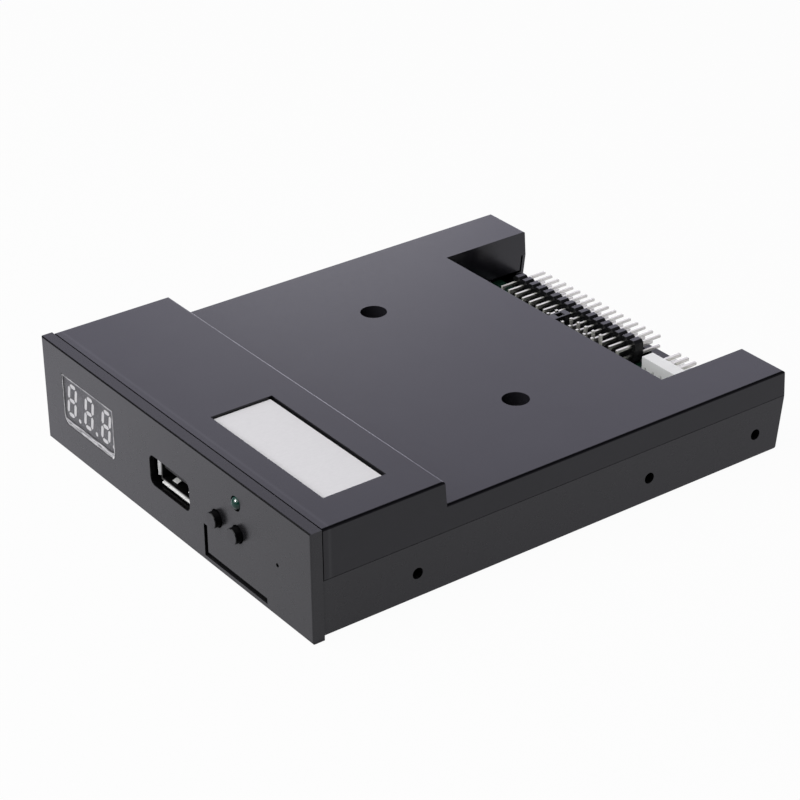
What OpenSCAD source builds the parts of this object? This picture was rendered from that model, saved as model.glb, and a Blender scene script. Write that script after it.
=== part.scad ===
// Floppy drive emulator in a 3.5 inch drive case. A display, a USB socket, two buttons and an
// indicator sit in the bezel, and the drive's cable connectors sit in an open bay at the rear.
// Millimetres. +X is to the right seen from the front, +Y to the rear and +Z up.
// The origin is the middle of the footprint, at the height of the bezel's lower edge.

/* [Bezel] */
// Width of the bezel
bezel_w = 101.6; // [100:0.1:110]
// Height of the bezel
bezel_h = 24.8; // [24.2:0.1:28]
// Thickness of the bezel
bezel_t = 2.7; // [2:0.1:3.5]
// How far the bezel stands out past each side of the case
bezel_side_lip = 0.3; // [0.1:0.05:0.8]
// How far the bezel stands above the front deck
bezel_top_lip = 0.15; // [0.1:0.05:0.8]
// How far the bezel hangs below the case
bezel_drop = 0.9; // [0.5:0.1:1.6]
// Gap between the bezel and the top cover
bezel_gap = 0.4; // [0.2:0.05:1]
// Radius along the front edges of the bezel
bezel_edge_r = 0.3; // [0.2:0.1:0.8]

/* [Case] */
// Depth from the bezel's face to the seam at the rear
case_l = 123.2; // [118:0.1:140]
// Height of the seam between the two halves
seam_h = 13.2; // [12:0.1:15]
// Depth from the bezel's face to the step in the top
step_y = 32; // [28:0.1:44]
// How far the rear deck lies below the front deck
step_drop = 5.4; // [4:0.05:5.5]
// How far the step's face leans to the rear, from its top to the rear deck
step_lean = 0.4; // [0:0.05:1.2]
// Radius along the top of the step
step_edge_r = 0.5; // [0.3:0.1:1.4]
// Thickness of the side and rear walls
wall = 2; // [1.5:0.1:2.4]
// Thickness of the floor
floor_t = 2; // [1.6:0.1:2.4]
// Thickness of the decks
deck_t = 2; // [1.6:0.1:2.4]
// Radius along the long edges of the decks
deck_edge_r = 0.5; // [0.3:0.1:1.4]
// Radius along the rear edges
rear_edge_r = 0.5; // [0.3:0.1:1.4]
// How far the cover's rear face leans in from the seam to the deck
upper_lean = 0.3; // [0:0.1:1]
// How far the lower shell's rear face leans in from the seam to the floor
lower_lean = 1.6; // [0:0.1:1.8]
// Height of the groove that shows the seam
seam_line_h = 0.1; // [0.05:0.05:0.4]
// Depth of the groove that shows the seam
seam_line_d = 0.4; // [0.2:0.1:0.8]

/* [Rear bay] */
// Width of the bay
bay_w = 75; // [72:0.5:78]
// Depth of the bay, from the rear of the seam
bay_d = 23.7; // [23:0.1:25]
// How far the sill under the bay lies below the board's top
sill_drop = 0.45; // [0.3:0.05:1.5]
// Gap between the board and the bay's walls
skirt_gap = 0.95; // [0.4:0.05:2]
// Width of the slit between the skirts beside the bay and the rear wall
skirt_slit = 0.5; // [0.3:0.1:0.9]
// Thickness of the rear wall where it laps behind those skirts
lap_t = 0.8; // [0.6:0.1:1.2]

/* [Case screws] */
// Diameter of the wells in the rear deck
well_d = 6; // [5.8:0.1:7]
// Wall of the tubes below the wells
well_wall = 1.5; // [1:0.1:2]
// Distance between the two wells
well_pitch = 50.6; // [46:0.1:56]
// Depth from the bezel's face to the wells
well_y = 69.7; // [64:0.1:76]
// Depth of the wells
well_depth = 6.1; // [5:0.1:6.6]
// Thickness of the seat under the screw's head
seat_t = 2; // [1.5:0.1:2]
// Diameter of the case screws
case_screw_d = 2.9; // [2.5:0.1:3]
// Length of the case screws under the head
case_screw_l = 9; // [7:0.5:10]
// Diameter of the screw's head
case_head_d = 5.4; // [4.6:0.1:5.6]
// Height of the screw's head
case_head_h = 1.9; // [1.5:0.1:2.4]
// Wall of the posts that the case screws go into
case_post_wall = 1.6; // [1.2:0.1:2]

/* [Side mounting holes] */
// Diameter of the holes
side_hole_d = 2.5; // [2.3:0.1:3.2]
// Depth from the bezel's face to the first hole
side_hole_y = 25.2; // [24:0.1:27]
// Distance from the first hole to the second
side_hole_mid = 60; // [55:0.5:62]
// Distance from the third hole to the rear of the seam
side_hole_inset = 8; // [7:0.1:14]
// Height of the holes above the underside of the case
side_hole_rise = 5.4; // [4.8:0.1:6]
// Depth of the holes
side_hole_depth = 6; // [5:0.1:7]
// Solid left behind the end of each hole
side_boss_end = 1; // [0.8:0.1:1.5]
// Solid round each hole
side_boss_wall = 2.5; // [1.5:0.1:3]

/* [Label] */
// Width of the label
label_w = 39.5; // [30:0.5:44]
// Depth of the label, front to rear
label_d = 14.3; // [10:0.1:18]
// Thickness of the label
label_t = 0.15; // [0.1:0.05:0.3]
// Clearance at the front and the sides of the label in its recess
label_clear = 0.15; // [0.05:0.05:0.4]
// Gap behind the label in its recess
label_rear_gap = 0.5; // [0.05:0.05:0.8]
// Depth of the recess
label_recess = 0.8; // [0.4:0.05:1]
// Distance of the label's middle to the right of the case's middle
label_x = 21.2; // [15:0.1:24]
// Depth from the bezel's face to the label's middle
label_y = 17.05; // [15:0.05:19]

/* [Main board] */
// Height of the posts under the board
standoff_h = 4.05; // [3.4:0.05:4.2]
// Thickness of the board
board_t = 1.6; // [1.2:0.1:1.8]
// Gap between the bezel and the board
board_front_gap = 0.4; // [0.2:0.1:0.6]
// Gap between the board and the bosses at the sides
board_side_gap = 0.9; // [0.4:0.1:2]
// How far the board reaches behind the connector housings
board_rear_past = 0.5; // [0:0.1:1]
// Diameter of the posts
board_post_d = 5.5; // [4.5:0.1:6.5]
// Distance of the posts from the board's side edges
board_post_inset = 4.6; // [3.5:0.1:6]
// Depth from the bezel's face to the front posts
board_post_y = 18.5; // [17:0.1:22]
// Diameter of the board screws
board_screw_d = 2.4; // [2:0.1:2.6]
// Length of the board screws under the head
board_screw_l = 5; // [4:0.1:5.6]
// Diameter of the board screw's head
board_head_d = 4.4; // [4:0.1:5]
// Height of the board screw's head
board_head_h = 1.6; // [1.2:0.1:2]
// Clearance round screws and posts in the board and the seats
screw_clear = 0.2; // [0.1:0.05:0.4]
// Length of the soldered legs below the board
leg_tail = 1.2; // [0.6:0.1:1.6]
// Clearance round the soldered legs
leg_clear = 0.1; // [0.05:0.05:0.2]

/* [USB socket] */
// Height of the socket's middle above the board
usb_rise = 3.5; // [3.2:0.05:4]
// How far the socket's mouth lies behind the bezel's face
usb_recess = 2.05; // [1:0.05:2.4]
// Width of the socket's shell
usb_w = 13.1; // [12.8:0.1:13.6]
// Height of the socket's shell
usb_h = 5.7; // [5.5:0.1:6]
// Length of the socket's shell
usb_l = 14; // [13:0.1:16]
// Sheet thickness of the shell
usb_sheet = 0.3; // [0.2:0.05:0.4]
// How far the lips round the mouth reach forward
usb_lip = 0.55; // [0.4:0.05:0.9]
// How far the lips spread
usb_lip_spread = 0.3; // [0.2:0.05:0.6]
// How far the lips end before the shell's corners
usb_lip_end = 1.1; // [0.8:0.1:1.6]
// Width of the spring leaves in the shell's floor
usb_leaf_w = 1.8; // [1.2:0.1:2.2]
// Distance between the two spring leaves
usb_leaf_pitch = 6; // [5:0.1:7]
// How far the spring leaves rise from the floor
usb_leaf_rise = 0.6; // [0.3:0.05:0.8]
// Distance from the mouth to the tips of the spring leaves
usb_leaf_tip = 1; // [0.5:0.1:1.5]
// Length of the spring leaves
usb_leaf_l = 7.5; // [6:0.1:8]
// Width of the tongue
usb_tongue_w = 11.1; // [10.6:0.1:11.4]
// Thickness of the tongue
usb_tongue_t = 1.84; // [1.6:0.02:2]
// Distance from the mouth to the tongue
usb_tongue_back = 0.3; // [0.2:0.1:1]
// Gap between the tongue and the shell's roof
usb_tongue_gap = 0.45; // [0.3:0.05:0.8]
// Length of the plastic block at the rear of the socket
usb_block_l = 4; // [3:0.1:5]
// Width of a contact
usb_contact_w = 1; // [0.8:0.05:1.2]
// Thickness of a contact
usb_contact_t = 0.3; // [0.2:0.05:0.4]
// Width of the bezel's opening
usb_open_w = 15.2; // [14.6:0.1:16]
// Height of the bezel's opening
usb_open_h = 7.1; // [7:0.1:8]
// Corner radius of the bezel's opening
usb_open_r = 1.6; // [0.5:0.1:2]

/* [Display] */
// Distance from the bezel's left edge to the middle of the window
display_inset = 18.4; // [17.8:0.1:20]
// Height of the middle of the window above the bezel's lower edge
display_rise = 13.05; // [12.6:0.05:13.4]
// Width of the window
window_w = 21.3; // [20.6:0.1:22]
// Height of the window
window_h = 12.1; // [11.4:0.1:12.6]
// Radius of the window's lower corners
window_r = 2; // [0.5:0.1:3]
// Clearance between the module and the window
display_clear = 0.15; // [0.05:0.05:0.3]
// How far the module's face lies behind the bezel's face
display_recess = 0.25; // [0.2:0.05:1]
// Depth of the module
display_d = 6.4; // [6:0.1:7.5]
// Thickness of the film
film_t = 0.15; // [0.1:0.05:0.2]
// Gap between the film and the module's face
film_gap = 0.03; // [0.01:0.01:0.05]
// Height of a digit
digit_h = 8.3; // [6.5:0.1:8.8]
// Width of a digit
digit_w = 3.8; // [3.4:0.1:4.2]
// Distance from digit to digit
digit_pitch = 7.05; // [6.4:0.05:7.2]
// Thickness of a segment's stroke
digit_stroke = 0.95; // [0.5:0.05:1.1]
// Gap between neighbouring segments
digit_gap = 0.24; // [0.1:0.02:0.3]
// How far the top of a digit leans to the right
digit_lean = 1.4; // [0:0.1:1.6]
// Height of the digits' middle above the window's middle
digit_lift = 0.55; // [0:0.05:0.8]
// Depth of the segments in the face
segment_d = 0.5; // [0.2:0.1:1]
// Diameter of a decimal point
point_d = 1; // [0.6:0.1:1.2]
// Width that the display's board has beyond the window
display_board_past = 6.4; // [6:0.1:7]
// Height of the display's board
display_board_h = 15; // [14:0.1:15.6]
// Thickness of the display's board
display_board_t = 1.2; // [0.8:0.1:1.6]
// Diameter of the posts behind the bezel
display_post_d = 2.7; // [2.5:0.1:2.8]
// Diameter of the screws in those posts
display_screw_d = 1.4; // [1:0.1:1.6]
// Length of those screws under the head
display_screw_l = 4; // [3:0.1:4.5]
// Diameter of the screw's head
display_head_d = 2.6; // [2.2:0.1:2.8]
// Height of the screw's head
display_head_h = 1; // [0.8:0.1:1.4]
// Number of pins in each row of the module
display_pin_count = 6; // [4:1:7]
// Distance between the module's two rows of pins
display_pin_rows = 7.6; // [6:0.1:9]
// Thickness of the module's pins
display_pin_w = 0.5; // [0.4:0.05:0.6]
// Length of the module's pins behind its board
display_pin_tail = 0.8; // [0.5:0.1:1]
// Number of wires
wire_count = 4; // [3:1:6]
// Diameter of a wire
wire_d = 1.1; // [0.8:0.1:1.2]
// Distance from wire to wire
wire_pitch = 1.3; // [1.3:0.05:1.6]
// Radius of the wires' bend
wire_bend_r = 3; // [2:0.1:3.4]
// Straight length of the wires behind the display's board
wire_run = 3; // [2.8:0.1:5]

/* [Buttons] */
// Distance of the left button to the right of the middle
button_x = 17.75; // [17:0.05:18.5]
// Distance between the two buttons
button_pitch = 7.5; // [7.2:0.05:9]
// Height of the buttons above the board
button_rise = 3.75; // [3.2:0.05:4]
// Diameter of the buttons
button_d = 3.5; // [3:0.1:3.8]
// How far the buttons stand out of the bezel
button_proud = 1.5; // [1:0.1:3]
// How far the buttons travel
button_travel = 0.25; // [0.2:0.05:0.3]
// Clearance round the buttons
button_clear = 0.25; // [0.15:0.05:0.4]
// Chamfer round the button's face
button_chamfer = 0.15; // [0.1:0.05:0.5]
// Width of a switch
switch_w = 6; // [5.8:0.1:6.2]
// Depth of a switch's base
switch_d = 3.4; // [3:0.1:4]
// Gap between the bezel and the switches
switch_gap = 0.45; // [0.45:0.05:0.8]
// Sheet thickness of a switch's frame
frame_t = 0.3; // [0.2:0.05:0.35]
// Width of the frame's legs
frame_leg_w = 1.4; // [1:0.1:2]
// Thickness of a plunger's flange
flange_t = 0.5; // [0.4:0.05:0.6]
// How far a plunger's flange stands out round it
flange_lip = 0.45; // [0.3:0.05:0.5]
// Height of a snap dome
dome_h = 0.55; // [0.4:0.05:0.6]
// Thickness of a snap dome
dome_t = 0.1; // [0.05:0.05:0.15]

/* [Indicator] */
// Distance of the indicator to the right of the middle
led_x = 25; // [23:0.1:27]
// Height of the indicator above the board
led_rise = 10.65; // [10:0.05:11.2]
// Diameter of the lens
led_d = 3; // [2.5:0.1:3.2]
// Length of the lens
led_l = 5.3; // [5:0.1:6]
// How far the lens stands out of the bezel
led_proud = 0.8; // [0.5:0.1:1.4]
// Diameter of the lens's rim
led_rim_d = 3.8; // [3.6:0.1:4.2]
// Thickness of the lens's rim
led_rim_t = 1; // [0.6:0.1:1.1]
// Clearance round the lens
led_clear = 0.15; // [0.05:0.05:0.3]
// Thickness of the leads
lead_w = 0.5; // [0.4:0.05:0.6]
// Distance between the leads
lead_pitch = 2.54; // [2:0.02:2.54]
// Gap between the switches and the leads
lead_gap = 0.6; // [0.4:0.1:1.5]

/* [Bezel marks] */
// Distance of the groove's corner to the right of the middle
groove_x = 12.6; // [12:0.1:13]
// Height of the groove's lower run above the bezel's lower edge
groove_z = 1.15; // [1:0.05:2]
// Width of the groove
groove_w = 1.3; // [0.6:0.1:1.4]
// Depth of the groove
groove_d = 0.8; // [0.4:0.1:1.2]
// Length of the groove's run to the right
groove_run = 22.5; // [15:0.5:26]
// Length of the groove's run upwards
groove_rise = 7.55; // [5:0.05:8]
// Distance of the pinhole to the right of the middle
pinhole_x = 39.2; // [37:0.1:42]
// Height of the pinhole above the bezel's lower edge
pinhole_z = 12.2; // [10:0.1:14]
// Diameter of the pinhole
pinhole_d = 0.9; // [0.5:0.1:1.2]

/* [Floppy connector] */
// Distance from pin to pin
pitch = 2.54; // [2.5:0.01:2.54]
// Thickness of a pin
pin_w = 0.64; // [0.5:0.02:0.7]
// Clearance round the pins in their housings
pin_clear = 0.03; // [0.02:0.01:0.06]
// Number of columns
header_columns = 17; // [13:1:17]
// Distance of the connector's middle to the right of the case's middle
header_x = -7.7; // [-10:0.1:-7.5]
// How far the pins' tips lie inside the rear of the case
pin_tip_inset = 1.8; // [1:0.1:2.5]
// Length of the pins behind the housing
pin_free = 6; // [5.5:0.1:6.4]
// Distance from the housing to the first row of legs
leg_gap = 1.5; // [1.2:0.1:2]
// Depth of the notches between the cells of a housing
cell_notch = 0.65; // [0.2:0.05:0.75]
// How far the lower row of pins lies above its usual height
header_lift = 0.2; // [0:0.05:0.3]

/* [Jumper block] */
// Number of columns
jumper_columns = 7; // [5:1:8]
// Distance of the block's middle to the right of the case's middle
jumper_x = 2.14; // [0:0.02:4]
// Distance from the connector's legs to the block's rear pins
jumper_gap = 2.54; // [2.4:0.02:2.8]
// Height of the pins' tips above the board
jumper_tip = 7.85; // [7:0.05:8]
// Column that carries the cap, counted from the left
cap_column = 1; // [0:1:4]
// Height of the cap
cap_h = 5.5; // [5.4:0.1:6]
// Gap between the cap and its neighbours
cap_gap = 0.1; // [0.05:0.05:0.2]
// Width of the slot in the cap's top
cap_slot_w = 1.4; // [0.8:0.1:1.6]
// Length of the slot in the cap's top
cap_slot_l = 1.8; // [1:0.1:2]
// Depth of the slot in the cap's top
cap_slot_d = 1.2; // [0.6:0.1:1.4]
// Sheet thickness of the clip in the cap
clip_t = 0.2; // [0.15:0.05:0.25]
// Gap between the clip and the pins
clip_gap = 0.06; // [0.04:0.01:0.1]
// Height of the clip
clip_h = 4.2; // [3:0.1:4.4]

/* [Power connector] */
// Number of pins
power_count = 4; // [3:1:4]
// Distance of the connector's middle to the right of the case's middle
power_x = 23.35; // [23.2:0.05:27]
// Distance from pin to pin
power_pitch = 2.5; // [2.2:0.05:2.54]
// Thickness of a pin
power_pin_w = 0.8; // [0.6:0.05:1]
// Height of the pins above the board
power_pin_rise = 2.15; // [1.9:0.05:2.4]
// Solid beside the outer pins
power_end = 2.6; // [2:0.1:3]
// Depth of the block
power_block_d = 3.2; // [2.8:0.1:3.6]
// Height of the block
power_block_h = 3.55; // [3.2:0.05:5]
// Thickness of the plate under the pins
power_plate_t = 0.75; // [0.5:0.05:1]
// Height of the drain slots along the block's lower front edge
power_slot_h = 1.1; // [0.6:0.1:1.4]
// Width of the drain slots
power_slot_w = 0.5; // [0.3:0.05:0.8]
// How far the plate ends in front of the pins' tips
power_plate_inset = 0.4; // [0:0.1:1]

/* [Board parts] */
// Width of the controller
chip_w = 10; // [9:0.5:12]
// Thickness of the controller
chip_t = 1.4; // [1:0.1:1.6]
// Distance of the controller to the right of the middle
chip_x = 0; // [-6:0.5:6]
// Distance of the controller behind the front of the board
chip_y = 44; // [40:0.5:52]
// Legs on each side of the controller
chip_legs = 16; // [8:1:16]
// Distance from leg to leg
chip_leg_pitch = 0.5; // [0.4:0.05:0.5]
// Reach of a leg beyond the controller's body
chip_leg_reach = 1; // [0.8:0.1:1.2]
// Thickness of a leg
chip_leg_t = 0.15; // [0.1:0.05:0.2]
// Length of the crystal's can
crystal_l = 11; // [9:0.1:11.5]
// Width of the crystal's can
crystal_w = 4.6; // [4:0.1:5]
// Height of the crystal's can
crystal_h = 3.6; // [3:0.1:4]
// Gap between the controller's legs and the crystal
crystal_gap = 4; // [2:0.5:6]
// Width of the regulator
regulator_w = 6.5; // [6:0.1:7]
// Depth of the regulator's body
regulator_d = 3.5; // [3:0.1:4]
// Height of the regulator
regulator_h = 1.6; // [1.4:0.1:2]
// Distance of the regulator from the board's right edge
regulator_inset = 12.6; // [10.6:0.1:13.6]
// Distance of the regulator in front of the bay
regulator_y = 12; // [11:0.5:14]
// Diameter of a capacitor's can
capacitor_d = 6.3; // [5:0.1:7]
// Height of a capacitor's can
capacitor_h = 5.4; // [4.5:0.1:6]
// Height of a capacitor's base
capacitor_base_h = 0.8; // [0.6:0.1:1]
// Number of capacitors
capacitor_count = 2; // [1:1:3]
// Distance from capacitor to capacitor
capacitor_pitch = 9; // [8.5:0.5:10]
// Number of small chip parts
resistor_count = 12; // [4:1:14]
// Length of a chip part
resistor_l = 2; // [1.6:0.1:2.2]
// Distance from chip part to chip part
resistor_pitch = 3; // [2.8:0.1:3.4]

/* [Hidden] */
$fn = 48;
eps = 0.01;
cut = 1;
case_colour = "#45444a";
black_plastic = "#1b1b1c";
metal = "#b9bbbd";
gold = "#d9c58a";
board_green = "#1d5a38";

case_w = bezel_w - 2 * bezel_side_lip;
case_z = bezel_drop;
floor_z = case_z + floor_t;
front_deck_z = bezel_h - bezel_top_lip;
rear_deck_z = front_deck_z - step_drop;
cover_y = bezel_t + bezel_gap;
bay_y = case_l - bay_d;
inner_x = case_w / 2 - wall;
lower_rear_y = case_l - lower_lean;
upper_rear_y = case_l - upper_lean;
middle_y = (case_l - button_proud) / 2;

board_z = floor_z + standoff_h;
board_top = board_z + board_t;
tail_z = board_z - leg_tail;
boss_x = case_w / 2 - side_hole_depth - side_boss_end;
board_w = 2 * (boss_x - board_side_gap);
board_y = bezel_t + board_front_gap;
post_x = board_w / 2 - board_post_inset;
sill_z = board_top - sill_drop;
lower_slope = lower_lean / (seam_h - case_z);
skirt_z = board_top + skirt_gap;
lap_w = wall + skirt_slit;
lap_z = skirt_z - skirt_slit;
lap_rear = case_l - lower_slope * (seam_h - lap_z);
side_hole_z = case_z + side_hole_rise;
side_boss_r = side_hole_d / 2 + side_boss_wall;
side_holes = [side_hole_y, side_hole_y + side_hole_mid, case_l - side_hole_inset];

seat_z = rear_deck_z - well_depth;
case_post_top = seat_z - seat_t;
case_post_d = case_screw_d + 2 * case_post_wall;

housing_rear = case_l - pin_tip_inset - pin_free;
housing_front = housing_rear - pitch;
low_leg_y = housing_front - leg_gap;
high_leg_y = low_leg_y - pitch;
low_pin_z = board_top + pitch / 2 + header_lift;
high_pin_z = low_pin_z + pitch;
tip_y = case_l - pin_tip_inset;
board_rear = housing_rear + board_rear_past;
post_points = [
    [-post_x, board_post_y],
    [post_x, board_post_y],
    [-post_x, bay_y - wall - board_post_d],
    [post_x, bay_y - wall - board_post_d]
];

jumper_rear_y = high_leg_y - jumper_gap;
jumper_y = jumper_rear_y - pitch / 2;
jumper_base_top = board_top + pitch;
cap_x = jumper_x + (cap_column - (jumper_columns - 1) / 2) * pitch;
cap_z = jumper_base_top + cap_gap;
cap_hole = pin_w + 2 * (clip_gap + clip_t + pin_clear);

power_w = (power_count - 1) * power_pitch + 2 * power_end;
power_front = housing_rear - power_block_d;
power_leg_y = power_front + power_pin_w;
power_pin_z = board_top + power_pin_rise;

usb_z = board_top + usb_rise;
usb_rear = usb_recess + usb_l;
usb_in_w = usb_w - 2 * usb_sheet;
usb_in_h = usb_h - 2 * usb_sheet;
usb_tongue_top = usb_z + usb_in_h / 2 - usb_tongue_gap;
usb_tongue_low = usb_tongue_top - usb_tongue_t;
usb_contacts_x = [-3.5, -1, 1, 3.5];
usb_leg_y = [usb_recess + 4, usb_rear - 3];
usb_leg_w = 1.4;
usb_contact_leg_y = usb_rear + usb_contact_w / 2;

display_x = display_inset - bezel_w / 2;
display_z = display_rise;
module_w = window_w - 2 * display_clear;
module_h = window_h - 2 * display_clear;
display_rear = display_recess + display_d;
display_board_w = window_w + display_board_past;
display_post_x = (window_w + display_board_past / 2) / 2;
display_board_rear = display_rear + display_board_t;
driver_w = 10;
driver_h = 5;
driver_t = 1.5;
wire_z = board_top + wire_bend_r + 1.2;
wire_y = display_board_rear + wire_run;
board_gap_x = display_x + display_board_w / 2 + board_front_gap;
board_gap_y = display_board_rear + display_head_h + board_front_gap;

button_z = board_top + button_rise;
buttons_x = [button_x, button_x + button_pitch];
switch_y = bezel_t + switch_gap;
base_y = switch_y + frame_t;
base_rear = base_y + switch_d;
plunger_end = base_y + flange_t + button_travel;
dome_gap = 0.05;
chamber_d = button_d + 2 * flange_lip + 2 * button_clear;
chamber_y = plunger_end + dome_gap + dome_h;
switch_pins_x = [-switch_w / 2 + 0.75, switch_w / 2 - 0.75];
switch_pin_y = base_rear - 0.7;

led_z = board_top + led_rise;
led_rear = led_l - led_proud;
lead_y = base_rear + lead_gap + lead_w / 2;

chip_mid_y = board_y + chip_y;
crystal_x = chip_x + chip_w / 2 + chip_leg_reach + crystal_gap + crystal_w / 2;
regulator_x = board_w / 2 - regulator_inset;
regulator_mid_y = bay_y - regulator_y;
capacitor_x = regulator_x - regulator_w / 2 - capacitor_d;
chip_lift = 0.1;

// Points along an arc, from one angle to another
function arc(x, y, r, from, to, steps = 6) =
    [for (i = [0:steps]) let (a = from + (to - from) * i / steps) [x + r * cos(a), y + r * sin(a)]];

// Outline of a rectangle with one radius for the lower corners and one for the upper ones
function rounded_box(w, h, low_r, high_r) = concat(
    low_r > 0 ? arc(w / 2 - low_r, low_r - h / 2, low_r, -90, 0) : [[w / 2, -h / 2]],
    high_r > 0 ? arc(w / 2 - high_r, h / 2 - high_r, high_r, 0, 90) : [[w / 2, h / 2]],
    high_r > 0 ? arc(high_r - w / 2, h / 2 - high_r, high_r, 90, 180) : [[-w / 2, h / 2]],
    low_r > 0 ? arc(low_r - w / 2, low_r - h / 2, low_r, 180, 270) : [[-w / 2, -h / 2]]
);

// Place of one copy in a centred row
function in_row(i, count, step) = (i - (count - 1) / 2) * step;

// Moves the model from the bezel's face to the middle of the footprint
module seat() {
    translate([0, -middle_y, 0]) children();
}

// Block between two corners
module slab(low, high) {
    translate(low) cube(high - low);
}

// Outline in Y and Z, drawn out along X about the middle
module along_x(width) {
    rotate([90, 0, 90]) translate([0, 0, -width / 2]) linear_extrude(width) children();
}

// Outline in X and Z, drawn out along Y
module along_y(from, to) {
    translate([0, to, 0]) rotate([90, 0, 0]) linear_extrude(to - from) children();
}

// Rod along Y
module rod(x, z, d, from, to) {
    translate([x, from, z]) rotate([-90, 0, 0]) cylinder(h = to - from, d = d);
}

// Square pin along Y
module pin_y(x, z, w, from, to) {
    slab([x - w / 2, from, z - w / 2], [x + w / 2, to, z + w / 2]);
}

// Square pin along Z
module pin_z(x, y, w, from, to) {
    slab([x - w / 2, y - w / 2, from], [x + w / 2, y + w / 2, to]);
}

// Screw with a cross recess, standing on z = 0 with its shank below
module screw(d, l, head_d, head_h) {
    recess_w = head_d / 6;
    recess_l = head_d / 1.8;
    recess_d = head_h / 2;
    difference() {
        union() {
            cylinder(h = head_h, d = head_d);
            translate([0, 0, -l]) cylinder(h = l + eps, d = d);
        }
        for (a = [0, 90])
            rotate([0, 0, a])
                slab(
                    [-recess_l / 2, -recess_w / 2, head_h - recess_d],
                    [recess_l / 2, recess_w / 2, head_h + cut]
                );
    }
}

// Case halves

module lower_walls() {
    floor_rear = lower_rear_y + lower_slope * floor_t - wall;
    difference() {
        along_x(case_w) polygon(concat(
            [[bezel_t, seam_h], [bezel_t, case_z]],
            arc(lower_rear_y - rear_edge_r, case_z + rear_edge_r, rear_edge_r, -90, 0),
            [[case_l, seam_h]]
        ));
        along_x(2 * inner_x) polygon([
            [bezel_t, floor_z],
            [floor_rear, floor_z],
            [case_l - wall, seam_h],
            [case_l - wall, seam_h + cut],
            [bezel_t, seam_h + cut]
        ]);
        slab([-bay_w / 2, floor_rear - cut, sill_z], [bay_w / 2, case_l + cut, seam_h + cut]);
        for (s = [0, 1])
            mirror([s, 0, 0]) translate([(bay_w + lap_w) / 2, 0, 0]) along_x(lap_w) polygon([
                [lap_rear - wall - cut, lap_z],
                [lap_rear - lap_t, lap_z],
                [case_l - lap_t, seam_h],
                [case_l - lap_t, seam_h + cut],
                [case_l - wall - cut, seam_h + cut]
            ]);
    }
}

module shell_posts() {
    for (p = post_points)
        translate([p.x, p.y, case_z + eps]) cylinder(h = board_z - case_z - eps, d = board_post_d);
    for (s = [-1, 1])
        translate([s * well_pitch / 2, well_y, case_z + eps])
            cylinder(h = case_post_top - case_z - eps, d = case_post_d);
    for (s = [-1, 1])
        rod(display_x + s * display_post_x, display_z, display_post_d, bezel_t / 2, display_rear);
}

module side_bosses() {
    for (y = side_holes)
        for (s = [0, 1])
            mirror([s, 0, 0])
                slab(
                    [boss_x, y - side_boss_r, floor_z - eps],
                    [inner_x + eps, y + side_boss_r, side_hole_z + side_boss_r]
                );
}

module shell_holes() {
    for (p = post_points)
        translate([p.x, p.y, board_top - board_screw_l]) cylinder(h = board_screw_l + cut, d = board_screw_d);
    for (s = [-1, 1])
        translate([s * well_pitch / 2, well_y, seat_z - case_screw_l])
            cylinder(h = case_screw_l + cut, d = case_screw_d);
    for (s = [-1, 1])
        rod(
            display_x + s * display_post_x, display_z, display_screw_d,
            display_board_rear - display_screw_l, display_rear + cut
        );
    for (y = side_holes)
        for (s = [0, 1])
            mirror([s, 0, 0])
                translate([case_w / 2 - side_hole_depth, y, side_hole_z])
                    rotate([0, 90, 0]) cylinder(h = side_hole_depth + cut, d = side_hole_d);
}

module bezel_plate() {
    r = bezel_edge_r;
    intersection() {
        along_x(bezel_w) polygon(concat(
            [[bezel_t, bezel_h], [bezel_t, 0]],
            arc(r, r, r, 270, 180),
            arc(r, bezel_h - r, r, 180, 90)
        ));
        linear_extrude(bezel_h) polygon(concat(
            [[bezel_w / 2, bezel_t], [-bezel_w / 2, bezel_t]],
            arc(r - bezel_w / 2, r, r, 180, 270),
            arc(bezel_w / 2 - r, r, r, 270, 360)
        ));
    }
}

module bezel_openings() {
    translate([display_x, 0, display_z])
        along_y(-cut, bezel_t + eps) polygon(rounded_box(window_w, window_h, window_r, 0));
    translate([0, 0, usb_z])
        along_y(-cut, bezel_t + eps) polygon(rounded_box(usb_open_w, usb_open_h, usb_open_r, usb_open_r));
    for (x = buttons_x)
        rod(x, button_z, button_d + 2 * button_clear, -cut, bezel_t + cut);
    rod(led_x, led_z, led_d + 2 * led_clear, -cut, bezel_t + cut);
    rod(pinhole_x, pinhole_z, pinhole_d, -cut, bezel_t + cut);
    slab([groove_x, -cut, groove_z], [groove_x + groove_w, groove_d, groove_z + groove_rise]);
    slab([groove_x, -cut, groove_z], [groove_x + groove_run, groove_d, groove_z + groove_w]);
}

module lower_shell() {
    color(case_colour) seat() difference() {
        union() {
            lower_walls();
            bezel_plate();
            shell_posts();
            side_bosses();
        }
        shell_holes();
        bezel_openings();
    }
}

// Section across the case, from the seam to a deck
function deck_section(top) = concat(
    [[-case_w / 2, seam_h], [case_w / 2, seam_h]],
    arc(case_w / 2 - deck_edge_r, top - deck_edge_r, deck_edge_r, 0, 90),
    arc(deck_edge_r - case_w / 2, top - deck_edge_r, deck_edge_r, 90, 180)
);

module cover_outside() {
    intersection() {
        along_y(cover_y, step_y + step_lean) polygon(deck_section(front_deck_z));
        along_x(case_w) polygon(concat(
            [[cover_y, seam_h], [step_y + step_lean, seam_h], [step_y + step_lean, rear_deck_z]],
            arc(step_y - step_edge_r, front_deck_z - step_edge_r, step_edge_r, 0, 90),
            [[cover_y, front_deck_z]]
        ));
    }
    intersection() {
        along_y(cover_y, case_l) polygon(deck_section(rear_deck_z));
        along_x(case_w) polygon(concat(
            [[cover_y, seam_h], [case_l, seam_h]],
            arc(upper_rear_y - rear_edge_r, rear_deck_z - rear_edge_r, rear_edge_r, 0, 90),
            [[cover_y, rear_deck_z]]
        ));
    }
}

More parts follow.
